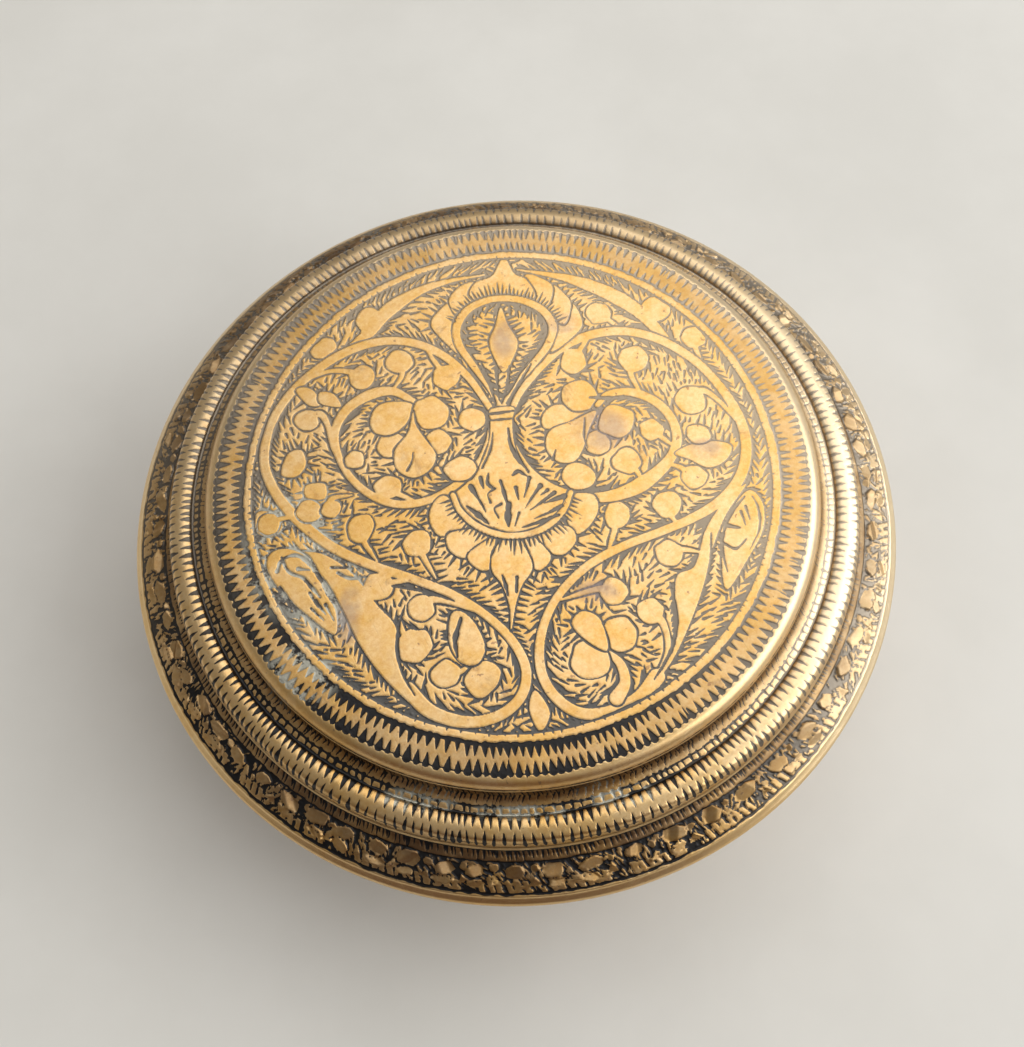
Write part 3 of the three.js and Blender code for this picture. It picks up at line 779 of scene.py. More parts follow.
def engraveFlowerBand(rng):
    # worn leaves and berries on a dark ground, with a hem of slanted dashes
    plate = Plate((0, 58.2), (2 * np.pi * 56.4, 66.6), 0.06, wraps=True)
    count = counts["dashes"]
    places = unevenPlaces(plate.length, count, rng, 0.5)
    wedgeRow(plate, places, 58.7, 60.1, rng.uniform(0.2, 0.4, count), rng, lean=0.2, uneven=0.4)
    y = plate.low[1] + plate.pitch[1] * np.arange(len(plate.cut))
    plate.cut[(y > 60.35) & (y < 64.7)] = 1
    count = counts["slivers"]
    starts = np.column_stack([rng.uniform(0, plate.length, count), rng.uniform(60.3, 64.5, count)])
    lean = 70 * waver(int(plate.length), rng, 5)
    angles = np.radians(90 + np.interp(starts[:, 0], np.arange(len(lean)), lean) + rng.normal(0, 12, count))
    reach = rng.uniform(0.7, 1.6, count)[:, None]
    ends = starts + np.column_stack([np.cos(angles), np.sin(angles)]) * reach
    ends[:, 1] = np.clip(ends[:, 1], 60.2, 64.8)
    spare(plate, starts, ends, rng.uniform(0.1, 0.42, count), [1, 0.8, 0.4, 0.1])
    count = counts["leaves"]
    for x in unevenPlaces(plate.length, count, rng, 0.12):
        facet(plate, x, 61.7 + rng.uniform(-0.3, 0.2), rng.uniform(3, 4.6), rng.uniform(1.6, 2.4), rng)
        if rng.random() < 0.75:
            facet(plate, x + rng.uniform(-0.8, 0.8), 63.4, rng.uniform(2, 3.4), rng.uniform(1.2, 1.7), rng)
        gapAt = x + plate.length / count / 2
        if rng.random() < 0.6:
            facet(plate, gapAt, 61.2 + rng.uniform(-0.2, 0.3), rng.uniform(0.9, 1.6), rng.uniform(0.9, 1.3), rng, 0.14)
        if rng.random() < 0.7:
            facet(plate, gapAt, 63 + rng.uniform(-0.3, 0.3), rng.uniform(1.3, 2.2), rng.uniform(1.6, 2.2), rng, 0.14,
                  corners=[(-1, 0.6), (0, -0.9), (1, 0.6)])
    # bars left between dashes along the hem
    hem, at = 64.7, 0.0
    while at < plate.length - 6:
        bars = rng.integers(4, 8)
        step = rng.uniform(1.1, 1.4)
        for x in at + step * np.arange(bars):
            leaned = rng.uniform(0.4, 0.8)
            wide = rng.uniform(0.3, 0.44)
            low = 62.9 + rng.uniform(-0.3, 0.3)
            corners = np.array([(x - wide, low), (x + wide, low), (x + wide + leaned, hem), (x - wide + leaned, hem)])
            plate.darken(corners, 0.14)
            plate.clear(plate.inside(corners))
        at += bars * step + rng.uniform(1.5, 4.5)
    ringLine(plate, 64.75, 0.34, rng, shake=0.12)
    ringLine(plate, 60.3, 0.18, rng, shake=0.08)
    plate.soften()
    return plate


def arc(radius, z, size, start, end, steps):
    angles = np.radians(np.linspace(start, end, steps + 1))
    return np.column_stack([radius + size * np.cos(angles), z + size * np.sin(angles)])


def evenProfile(points, step):
    # the same profile in even steps, with the distance along it
    points = np.vstack(points)
    gaps = np.hypot(*np.diff(points, axis=0).T)
    kept = np.concatenate([[True], gaps > 1e-6])
    points, along = points[kept], np.concatenate([[0], np.cumsum(gaps[gaps > 1e-6])])
    even = np.linspace(0, along[-1], max(int(round(along[-1] / step)), 1) + 1)
    return np.column_stack([np.interp(even, along, points[:, k]) for k in (0, 1)]), even


def profileNormals(profile):
    # to the left of the way the profile runs, which is outward on every skin below
    along = np.gradient(profile, axis=0)
    along /= np.maximum(np.hypot(*along.T), 1e-9)[:, None]
    return np.column_stack([-along[:, 1], along[:, 0]])


def ridges(distance, marks):
    # turned beads and grooves: (where, half width, height) of each
    height = np.zeros(len(distance))
    for place, width, rise in marks:
        height += rise * np.exp(-(((distance - place) / width) ** 2))
    return height


def stitch(counts, closed):
    # the faces between rings of points, one ring to a row; a row of one point is a pole, and next to each
    # other rows have as many points or twice as many
    firsts = np.concatenate([[0], np.cumsum(counts)])
    quads, triangles = [np.zeros((0, 4), int)], [np.zeros((0, 3), int)]
    pairs = list(zip(range(len(counts)), range(1, len(counts)))) + ([(len(counts) - 1, 0)] if closed else [])
    for above, beneath in pairs:
        upper, lower, a, b = counts[above], counts[beneath], firsts[above], firsts[beneath]
        many = max(upper, lower)
        i = np.arange(many)
        j = (i + 1) % many
        if upper == lower:
            quads.append(np.column_stack([a + i, b + i, b + j, a + j]))
        elif upper == 1:
            triangles.append(np.column_stack([np.full(many, a), b + i, b + j]))
        elif lower == 1:
            triangles.append(np.column_stack([a + i, np.full(many, b), a + j]))
        else:
            few = many // 2
            k = np.arange(few)
            following = (k + 1) % few
            even, odd, after = 2 * k, 2 * k + 1, (2 * k + 2) % many
            if upper < lower:
                corners = [(a + k, b + even, b + odd), (a + k, b + odd, a + following),
                           (a + following, b + odd, b + after)]
            else:
                corners = [(a + even, b + k, a + odd), (a + odd, b + k, b + following),
                           (a + odd, b + following, a + after)]
            triangles += [np.column_stack(three) for three in corners]
    return np.vstack(quads), np.vstack(triangles)


def skin(name, rows, masks, material, body, node, unwrap=None, closed=False):
    # closes a skin over rings of points, paints the masks on it and puts it in the node's place
    counts = [len(row) for row in rows]
    quads, triangles = stitch(counts, closed)
    points = np.vstack(rows)
    mesh = bpy.data.meshes.new(name)
    mesh.vertices.add(len(points))
    mesh.vertices.foreach_set("co", (points * mm).astype(np.float32).ravel())
    corners = np.concatenate([quads.ravel(), triangles.ravel()]).astype(np.int32)
    starts = np.concatenate([4 * np.arange(len(quads)), 4 * len(quads) + 3 * np.arange(len(triangles))])
    mesh.loops.add(len(corners))
    mesh.loops.foreach_set("vertex_index", corners)
    mesh.polygons.add(len(starts))
    mesh.polygons.foreach_set("loop_start", starts.astype(np.int32))
    mesh.update(calc_edges=True)
    mesh.shade_smooth()
    for key, values in masks.items():
        layer = mesh.attributes.new(key, "FLOAT", "POINT")
        layer.data.foreach_set("value", np.concatenate(values).astype(np.float32))
    if unwrap:
        # which side of a seam a face lies on comes from its middle
        faceOf = np.repeat(np.arange(len(starts)), np.repeat([4, 3], [len(quads), len(triangles)]))
        weight = np.bincount(faceOf)
        middles = np.column_stack([np.bincount(faceOf, points[corners, k]) / weight for k in range(3)])
        rowOf = np.repeat(np.arange(len(rows)), counts)
        faceRow = np.bincount(faceOf, rowOf[corners]) / weight
        uv = unwrap(points[corners], rowOf[corners], middles[faceOf], faceRow[faceOf])
        layer = mesh.uv_layers.new(name="OFBake")
        layer.data.foreach_set("uv", uv.astype(np.float32).ravel())
    mesh.materials.append(material)
    piece = bpy.data.objects.new(name, mesh)
    scene.collection.objects.link(piece)
    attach(piece, body)
    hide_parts(node)
    return piece


def add(tree, kind, inputs=None, **settings):
    node = tree.nodes.new(kind)
    for key, value in settings.items():
        setattr(node, key, value)
    for key, value in (inputs or {}).items():
        if isinstance(value, bpy.types.NodeSocket):
            tree.links.new(value, node.inputs[key])
        else:
            node.inputs[key].default_value = value
    return node


def calc(tree, operation, first, second=0.0, clamp=False):
    return add(tree, "ShaderNodeMath", {0: first, 1: second}, operation=operation, use_clamp=clamp).outputs[0]


def product(tree, *values):
    result = values[0]
    for value in values[1:]:
        result = calc(tree, "MULTIPLY", result, value)
    return result


def without(tree, value):
    # what a share leaves of the whole
    return calc(tree, "SUBTRACT", 1.0, value)


def remap(tree, value, low, high, start=0.0, end=1.0):
    # low..high becomes start..end with soft ends
    return add(tree, "ShaderNodeMapRange", {"Value": value, "From Min": low, "From Max": high, "To Min": start,
                                            "To Max": end}, interpolation_type="SMOOTHSTEP").outputs[0]


def mixColor(tree, share, first, second):
    return add(tree, "ShaderNodeMix", {0: share, 6: first, 7: second}, data_type="RGBA").outputs[2]


def mixValue(tree, share, first, second):
    return add(tree, "ShaderNodeMix", {0: share, 2: first, 3: second}, data_type="FLOAT").outputs[0]


def noise(tree, place, scale, detail=3.0, roughness=0.55, distortion=0.0):
    return add(tree, "ShaderNodeTexNoise", {"Vector": place, "Scale": scale, "Detail": detail,
                                            "Roughness": roughness, "Distortion": distortion}).outputs["Fac"]


def objectPlace(tree):
    return add(tree, "ShaderNodeTexCoord").outputs["Object"]


def mask(tree, name):
    return add(tree, "ShaderNodeAttribute", attribute_name=name).outputs["Fac"]


def squares(tree, x, y):
    return calc(tree, "ADD", calc(tree, "MULTIPLY", x, x), calc(tree, "MULTIPLY", y, y))


def nearness(tree, where, spot):
    # 1 in the middle of an oval on the lid and 0 outside it
    x, y, wide, high = spot
    fromX = calc(tree, "DIVIDE", calc(tree, "SUBTRACT", where[0], x), wide)
    fromY = calc(tree, "DIVIDE", calc(tree, "SUBTRACT", where[1], y), high)
    return remap(tree, squares(tree, fromX, fromY), 1.2, 0.2)


def newGroup(name, inputs, outputs):
    group = bpy.data.node_groups.new(name, "ShaderNodeTree")
    for label, kind, value in inputs:
        group.interface.new_socket(name=label, in_out="INPUT", socket_type="NodeSocket" + kind).default_value = value
    for label, kind in outputs:
        group.interface.new_socket(name=label, in_out="OUTPUT", socket_type="NodeSocket" + kind)
    return group, add(group, "NodeGroupInput").outputs, add(group, "NodeGroupOutput").inputs


def placeGroup(tree, group, inputs):
    return add(tree, "ShaderNodeGroup", inputs, node_tree=group).outputs


def makeMottleGroup():
    # brass that has gone browner in patches, with small dull spots
    group, given, result = newGroup(
        "mottledBrass",
        [("Bright", "Color", (0.8, 0.5, 0.2, 1)), ("Deep", "Color", (0.6, 0.3, 0.1, 1)),
         ("Tarnish", "Color", (0.2, 0.12, 0.08, 1)), ("Scale", "Float", 60.0), ("Amount", "Float", 0.4)],
        [("Color", "Color"), ("Dull", "Float")],
    )
    place = objectPlace(group)
    broad = noise(group, place, given["Scale"], 3.0, 0.6)
    patches = noise(group, place, calc(group, "MULTIPLY", given["Scale"], 5.0), 5.0, 0.7)
    blend = remap(group, calc(group, "ADD", broad, patches), 0.8, 1.2)
    tone = mixColor(group, blend, given["Bright"], given["Deep"])
    fine = noise(group, place, calc(group, "MULTIPLY", given["Scale"], 9.0), 3.0, 0.6)
    spots = noise(group, place, calc(group, "MULTIPLY", given["Scale"], 3.2), 5.0, 0.7, 0.6)
    dull = product(group, remap(group, spots, 0.58, 0.74), remap(group, fine, 0.35, 0.6), given["Amount"])
    # a fine freckle over all of it, and here and there a dark pit
    freckle = remap(group, noise(group, place, 1700.0, 4.0, 0.75), 0.3, 0.7)
    tone = add(group, "ShaderNodeMix", {0: calc(group, "MULTIPLY", freckle, 0.42), 6: tone, 7: given["Deep"]},
               data_type="RGBA", blend_type="MULTIPLY").outputs[2]
    pits = remap(group, noise(group, place, 900.0, 2.0, 0.5), 0.7, 0.74)
    tone = mixColor(group, calc(group, "MULTIPLY", pits, 0.6), tone, given["Tarnish"])
    group.links.new(mixColor(group, dull, tone, given["Tarnish"]), result["Color"])
    group.links.new(dull, result["Dull"])
    return group


def makeRubGroup():
    # fine rubbing marks that run two ways, and the grain under them
    group, given, result = newGroup(
        "rubbingMarks",
        [("Scale", "Float", 1.0), ("Grain", "Float", 0.5)],
        [("Height", "Float"), ("Streak", "Float")],
    )
    place = objectPlace(group)
    size = add(group, "ShaderNodeVectorMath", {0: place, "Scale": given["Scale"]}, operation="SCALE").outputs[0]
    marks = []
    for turn, thin, long in ((0.5, 0.0002, 0.005), (-0.9, 0.00016, 0.004), (2.2, 0.00025, 0.003)):
        turned = add(group, "ShaderNodeMapping", {"Vector": size, "Rotation": (0, 0, turn),
                                                  "Scale": (thin, long, long)}, vector_type="TEXTURE").outputs[0]
        marks.append(remap(group, noise(group, turned, 1.0, 2.0, 0.5, 0.3), 0.6, 0.8))
    streak = calc(group, "MAXIMUM", calc(group, "MAXIMUM", marks[0], marks[1]), marks[2])
    grain = noise(group, place, 2600.0, 2.0, 0.6)
    height = calc(group, "SUBTRACT", calc(group, "MULTIPLY", grain, given["Grain"]), streak)
    group.links.new(height, result["Height"])
    group.links.new(streak, result["Streak"])
    return group


def makeTurningGroup():
    # the fine rings that a lathe tool leaves round the axis
    group, given, result = newGroup(
        "turningMarks", [("Scale", "Float", 2400.0), ("Unevenness", "Float", 0.3)], [("Height", "Float")],
    )
    place = add(group, "ShaderNodeSeparateXYZ", {0: objectPlace(group)}).outputs
    radius = calc(group, "SQRT", squares(group, place[0], place[1]))
    across = calc(group, "ADD", radius, calc(group, "MULTIPLY", place[2], 1.3))
    lines = add(group, "ShaderNodeTexNoise", {"W": across, "Scale": given["Scale"], "Detail": 3.0},
                noise_dimensions="1D").outputs["Fac"]
    broken = calc(group, "MULTIPLY", noise(group, objectPlace(group), 240.0, 2.0), given["Unevenness"])
    group.links.new(calc(group, "MULTIPLY", lines, calc(group, "ADD", 1.0, broken)), result["Height"])
    return group


def makeBrass(name, look, groups):
    # cut, worn and grime are masks painted on the mesh by its maker; grime holds painted shade in the hollows and on
    # the shaded sides as well as dirt
    material = bpy.data.materials.new(name)
    material.use_nodes = True
    tree = material.node_tree
    tree.nodes.clear()
    place = objectPlace(tree)
    cut, worn, grimeAndShade = mask(tree, "cut"), mask(tree, "worn"), mask(tree, "grimeAndShade")

    mottled = placeGroup(tree, groups["mottle"], {
        "Bright": look["bright"], "Deep": look["deep"], "Tarnish": look["tarnish"],
        "Scale": look["patchScale"], "Amount": look["tarnishAmount"]})
    rubbed = placeGroup(tree, groups["rub"], {"Scale": look["rubScale"], "Grain": look["grain"]})
    turned = placeGroup(tree, groups["turning"], {"Scale": look["turningScale"], "Unevenness": 0.4})

    # grime and painted shade sit in the hollows and thin out unevenly
    cloud = noise(tree, place, look["grimeAndShadeScale"], 5.0, 0.65)
    grimeAndShadeShare = calc(tree, "MULTIPLY", grimeAndShade, remap(tree, cloud, 0.25, 0.6, 0.55, 1.0), clamp=True)
    color = mixColor(tree, grimeAndShadeShare, mottled["Color"], look["grimeAndShadeColor"])
    polish = calc(tree, "MULTIPLY", worn, remap(tree, cloud, 0.3, 0.7, 0.6, 1.0), clamp=True)
    color = mixColor(tree, polish, color, look["wornColor"])

    # black patina holds in the cuts; to the right and the back it is painted paler, a painted sheen standing in for
    # the window light on the patina
    where = add(tree, "ShaderNodeSeparateXYZ", {0: place}).outputs
    radius = calc(tree, "SQRT", squares(tree, where[0], where[1]))
    speck = noise(tree, place, 1500.0, 2.0, 0.6)
    deep = calc(tree, "ADD", cut, calc(tree, "MULTIPLY", calc(tree, "SUBTRACT", speck, 0.5), 0.35))
    black = remap(tree, deep, look["patinaFrom"], look["patinaTo"])
    outward = calc(tree, "MULTIPLY", calc(tree, "ABSOLUTE", where[0]), 0.2)
    toRight = calc(tree, "MULTIPLY", calc(tree, "MAXIMUM", where[0], 0.0), 0.8)
    side = calc(tree, "ADD", calc(tree, "ADD", toRight, outward), calc(tree, "MULTIPLY", where[1], 0.8))
    sheenShare = product(tree, remap(tree, side, -0.02, 0.045), look["patinaSheenAmount"],
                      without(tree, calc(tree, "MULTIPLY", grimeAndShadeShare, 0.8)), remap(tree, where[2], 0.034, 0.039, 0.3, 1.0))
    border = remap(tree, radius, *look["borderFrom"])
    patina = mixColor(tree, border, look["patinaColor"], look["patinaBorder"])
    # thin is the painted sheen colour of the patina, paler towards the borders
    thin = mixColor(tree, border, look["patinaSheen"], look["patinaSheenBorder"])
    # painted highlight: the borders go pale where the window light falls
    paleHighlight = remap(tree, radius, *look["paleHighlightFrom"], 0.0, look["paleHighlightAmount"])
    color = mixColor(tree, product(tree, paleHighlight, sheenShare, without(tree, grimeAndShadeShare)), color, look["paleHighlightColor"])
    color = mixColor(tree, black, color, mixColor(tree, sheenShare, patina, thin))

    # old polish dried to a pale crust in some cuts
    near = nearness(tree, where, look["crustSpots"][0])
    for spot in look["crustSpots"][1:]:
        near = calc(tree, "MAXIMUM", near, nearness(tree, where, spot))
    patch = remap(tree, noise(tree, place, 380.0, 4.0, 0.7), 0.42, 0.52)
    crust = product(tree, near, patch, look["crust"], black)
    color = mixColor(tree, crust, color, look["crustColor"])
    # a few plum-grey stains where something lay on the lid
    for spot in look["stains"]:
        stain = product(tree, nearness(tree, where, spot), remap(tree, cloud, 0.35, 0.6, 0.1, 0.5))
        color = mixColor(tree, stain, color, look["stainColor"])

    covered = calc(tree, "MAXIMUM", black, crust)
    metal = without(tree, calc(tree, "MULTIPLY", covered, look["patinaCover"]))
    rough = mixValue(tree, mottled["Dull"], look["roughness"], look["roughness"] + 0.22)
    rough = mixValue(tree, grimeAndShadeShare, rough, look["grimeAndShadeRoughness"])
    rough = mixValue(tree, polish, rough, look["wornRoughness"])
    rough = mixValue(tree, black, rough, look["patinaRoughness"])
    rough = calc(tree, "ADD", rough, calc(tree, "MULTIPLY", rubbed["Streak"], 0.06))

    rubHeight = calc(tree, "MULTIPLY", rubbed["Height"], look["rubDepth"])
    turnHeight = calc(tree, "MULTIPLY", turned["Height"], look["turningDepth"])
    pits = product(tree, speck, covered, look["patinaDepth"])
    height = calc(tree, "ADD", calc(tree, "ADD", rubHeight, turnHeight), pits)
    bump = add(tree, "ShaderNodeBump", {"Height": height, "Strength": 1.0, "Distance": 0.0001}).outputs[0]
    shader = add(tree, "ShaderNodeBsdfPrincipled", {
        "Base Color": color, "Metallic": metal, "Roughness": rough, "Normal": bump,
        "Specular IOR Level": look["patinaGloss"]}).outputs[0]
    add(tree, "ShaderNodeOutputMaterial", {"Surface": shader})
    return material


brassBase = {
    "bright": (0.81, 0.575, 0.29, 1),
    "deep": (0.745, 0.47, 0.158, 1),
    "tarnish": (0.24, 0.13, 0.09, 1),
    "tarnishAmount": 0.5,
    "patchScale": 60.0,  # per metre
    "rubScale": 1.0,
    "grain": 0.5,
    "rubDepth": 0.1,
    "turningScale": 2600.0,
    "turningDepth": 0.0,
    "roughness": 0.36,
    # dark brown for grime and for the painted shade in hollows and on the shaded sides
    "grimeAndShadeColor": (0.13, 0.076, 0.042, 1),
    "grimeAndShadeScale": 160.0,
    "grimeAndShadeRoughness": 0.46,
    "wornColor": (0.95, 0.72, 0.38, 1),
    "wornRoughness": 0.24,
    "patinaColor": (0.1, 0.095, 0.088, 1),
    "patinaBorder": (0.022, 0.021, 0.021, 1),
    # paler patina colours for the painted sheen on the lit side
    "patinaSheen": (0.36, 0.285, 0.195, 1),
    "patinaSheenBorder": (0.43, 0.355, 0.265, 1),
    "patinaSheenAmount": 0.0,
    "borderFrom": (0.0384, 0.0402),  # the patina changes at this distance from the middle
    "paleHighlightFrom": (0.0425, 0.045),
    "paleHighlightAmount": 0.6,  # how pale the painted highlight on the lit side of the borders gets
    "paleHighlightColor": (0.86, 0.76, 0.57, 1),
    "patinaRoughness": 0.36,
    "patinaCover": 0.15,
    "patinaDepth": 0.3,
    "patinaGloss": 0.5,
    "patinaFrom": 0.3,
    "patinaTo": 0.52,
    "crust": 0.0,
    "crustColor": (0.62, 0.6, 0.49, 1),
    "crustSpots": [(-0.0315, -0.011, 0.008, 0.012), (-0.026, -0.019, 0.007, 0.0075), (-0.0285, -0.0305, 0.006, 0.005),
                   (-0.012, -0.0468, 0.006, 0.002), (0.002, -0.0483, 0.008, 0.0012), (0.015, -0.0458, 0.006, 0.002)],
    "stains": [],  # place and reach on the lid, x and y
    "stainColor": (0.28, 0.22, 0.21, 1),
}

groups = {"mottle": makeMottleGroup(), "rub": makeRubGroup(), "turning": makeTurningGroup()}
lidStains = [(0.0125, -0.0185, 0.0035, 0.002), (-0.0012, 0.0235, 0.0022, 0.004), (0.0135, 0.0075, 0.005, 0.004),
             (-0.0225, -0.022, 0.002, 0.005), (0.029, 0.004, 0.003, 0.002), (0.008, 0.0262, 0.003, 0.002)]
engravedLook = {**brassBase, "crust": 0.6, "patinaSheenAmount": 1.0, "stains": lidStains}
plainLook = {**brassBase, "turningDepth": 0.6, "roughness": 0.3}
cupLook = {**brassBase, "bright": (0.9, 0.64, 0.3, 1), "deep": (0.82, 0.53, 0.2, 1), "turningDepth": 0.7,
           "roughness": 0.27, "tarnishAmount": 0.35, "rubDepth": 0.05}
engravedBrass = makeBrass("engravedBrass", engravedLook, groups)
plainBrass = makeBrass("plainBrass", plainLook, groups)
cupBrass = makeBrass("cupBrass", cupLook, groups)
print("materials ready")


def columnsAt(radius, most=2048):
    # the number of points round a row halves as the rows get smaller
    columns, limit = most, 27.0
    while radius < limit and columns > 32:
        columns, limit = columns // 2, limit / 2
    return columns


def around(count):
    return 2 * np.pi * np.arange(count) / count


def turnedRow(radius, z, angle):
    return np.column_stack([radius * np.cos(angle), radius * np.sin(angle), np.broadcast_to(z, len(angle))])


def sunk(cut):
    # the metal beside a cut stays flat, and the cut goes down steeply inside its own edge
    share = np.clip((cut - 0.3) / 0.6, 0, 1)
    return share * share * (3 - 2 * share)


def outOfTrue(points, rng, sizes, height):
    # beaten and turned by hand, no surface is quite even
    total = np.zeros(len(points))
    for size in sizes:
        for _ in range(3):
            way = rng.normal(size=3)
            way *= 2 * np.pi / size / np.linalg.norm(way)
            total += np.sin(points @ way + rng.uniform(0, 6.28))
    return height * total / (3 * len(sizes)) ** 0.5


def uvTurned(distance, discEnd, wallEnd):
    # one disc for what lies inside discEnd, eight tiles for the wall up to wallEnd, a small disc for the rest
    last = distance[-1]

    def place(points, rows, middles, middleRows):
        along = distance[np.clip(rows, 0, len(distance) - 1)]
        middleAlong = np.interp(middleRows, np.arange(len(distance)), distance)
        angle = np.arctan2(points[:, 1], points[:, 0])
        way = np.column_stack([np.cos(angle), np.sin(angle)])
        uv = np.array([0.335, 0.665]) + way * (0.32 * along / discEnd)[:, None]
        sector = np.floor((np.arctan2(middles[:, 1], middles[:, 0]) % (2 * np.pi)) / (np.pi / 4)).astype(int) % 8
        share = (angle - sector * np.pi / 4 + np.pi) % (2 * np.pi) - np.pi
        share = np.clip(share / (np.pi / 4), 0, 1)
        up = (along - discEnd) / (wallEnd - discEnd)
        right = np.column_stack([0.675 + 0.315 * share, 0.345 + 0.1625 * sector + 0.152 * up])
        below = np.column_stack([0.01 + 0.1625 * (sector - 4) + 0.152 * up, 0.01 + 0.315 * share])
        tiles = np.where((sector < 4)[:, None], right, below)
        under = np.array([0.835, 0.165]) + way * (0.15 * (last - along) / (last - wallEnd))[:, None]
        uv = np.where((middleAlong > discEnd)[:, None], tiles, uv)
        return np.where((middleAlong > wallEnd)[:, None], under, uv)

    return place


lidShape = {
    "rimTop": 38.3,  # height of the rim's upper face
    "top": 49.7,
    "cutDepth": 0.085,
    "bandDepth": 0.17,  # the flower band is cut deeper than the rest
    "seed": 11,
    # beads and grooves: distance out from the middle along the metal, half width and height
    "ridges": [(46.75, 0.16, 0.12), (54.7, 0.7, 0.2), (57.95, 0.2, 0.16), (65.15, 0.16, 0.08),
               (47.1, 0.12, -0.08), (51.3, 0.2, -0.14), (58.5, 0.2, -0.1)],
    "unevenness": 0.016,
    # grime and painted shade at each distance: all round, more at the back, at the back left and in front. The hollows
    # get painted shade with their grime, and the darker back, back left and front are painted shade
    "grimeAndShade": [
        (0, 0, 0, 0, 0), (39.3, 0, 0, 0, 0), (40.2, 0.24, 0.06, 0.04, 0.2), (43.8, 0.24, 0.06, 0.04, 0.2),
        (44.6, 0.1, 0, 0.25, 0), (46.3, 0.2, 0, 0.3, 0), (47, 0.7, 0, 0.3, 0), (47.5, 0.85, 0, 0, 0),
        (50, 0.5, 0.2, 0, 0.1), (50.6, 0.16, 0.45, 0.1, 0.1), (51.2, 0.2, 0.5, 0.1, 0.1), (51.8, 0.02, 0.5, 0.1, 0.1),
        (56.4, 0.12, 0.65, 0.1, 0.45), (57.3, 0.42, 0.55, 0, 0.5), (58.1, 0.2, 0.5, 0, 0.4), (58.5, 0.85, 0, 0.1, 0.1),
        (60.3, 0.8, 0, 0.15, 0.1), (61, 0.64, 0, 0.3, 0.15), (62.8, 0.48, 0, 0.45, 0.25), (64.2, 0.3, 0, 0.5, 0.3),
        (65, 0.1, 0.25, 0.15, 0.3), (66.4, 0.05, 0.3, 0.15, 0.35), (68, 0.3, 0.2, 0, 0.2), (69, 0.5, 0, 0, 0)],
    # and how rubbed
    "worn": [(0, 0), (43.6, 0), (44.4, 0.35), (45.2, 0.2), (46.6, 0.1), (46.8, 0.5), (47, 0), (52, 0), (53.2, 0.3),
             (55, 0.15), (57.4, 0), (57.95, 0.7), (58.2, 0), (64.9, 0), (65.3, 0.6), (66, 0.5), (67.4, 0.1), (69, 0)],
}


def lidProfile(shape):
    base = shape["rimTop"]
    outside, distance = evenProfile([
        [(0, shape["top"]), (43.9, shape["top"])],
        arc(43.9, base + 9.3, 2.1, 90, 8, 16),
        arc(48, base + 9.1, 1.95, 180, 260, 14),
        arc(50.2, base + 4.9, 2.6, 130, -15, 30),
        [(53.15, base + 3.15), (53.5, base + 2.8), (54.5, base + 2.3), (56.45, base + 1.71), (58.4, base + 0.75)],
        arc(59.05, base - 1, 0.95, 62, -90, 12),
    ], 0.155)
    under, underDistance = evenProfile([
        [(59.05, base - 1.95), (58.6, base - 2), (53.9, base - 2), (51.9, base + 1.4), (51.4, base + 3.7)],
        [(50.2, base + 5.6), (48, base + 5.6), (46.2, base + 6.6), (44.2, base + 8.5), (42.9, base + 10),
         (0, base + 10)],
    ], 0.8)
    return outside, under[1:], np.concatenate([distance, distance[-1] + underDistance[1:]])


def lidGrimeAndShade(shape, far, angle):
    table = np.array(shape["grimeAndShade"])
    # painted shade: the back, the back left and the front are darkened, on top of the grime all round
    sides = [np.ones(len(angle)), np.clip(np.sin(angle - 0.1), 0, 1), np.clip(np.cos(angle - 2), 0, 1) ** 2,
             np.clip(-np.sin(angle + 0.09), 0, 1) ** 4]
    grimeAndShadeParts = [np.interp(far, table[:, 0], table[:, 1 + i]) * side for i, side in enumerate(sides)]
    # painted light: the ring's right side, where the window light falls, gets less of the grime and painted shade
    rightLitShare = np.interp(far, [49.6, 50.6, 56, 58], [0, 0.7, 0.4, 0]) * np.clip(np.cos(angle + 0.2), 0, 1)
    return np.clip(sum(grimeAndShadeParts) * (1 - rightLitShare), 0, 1)


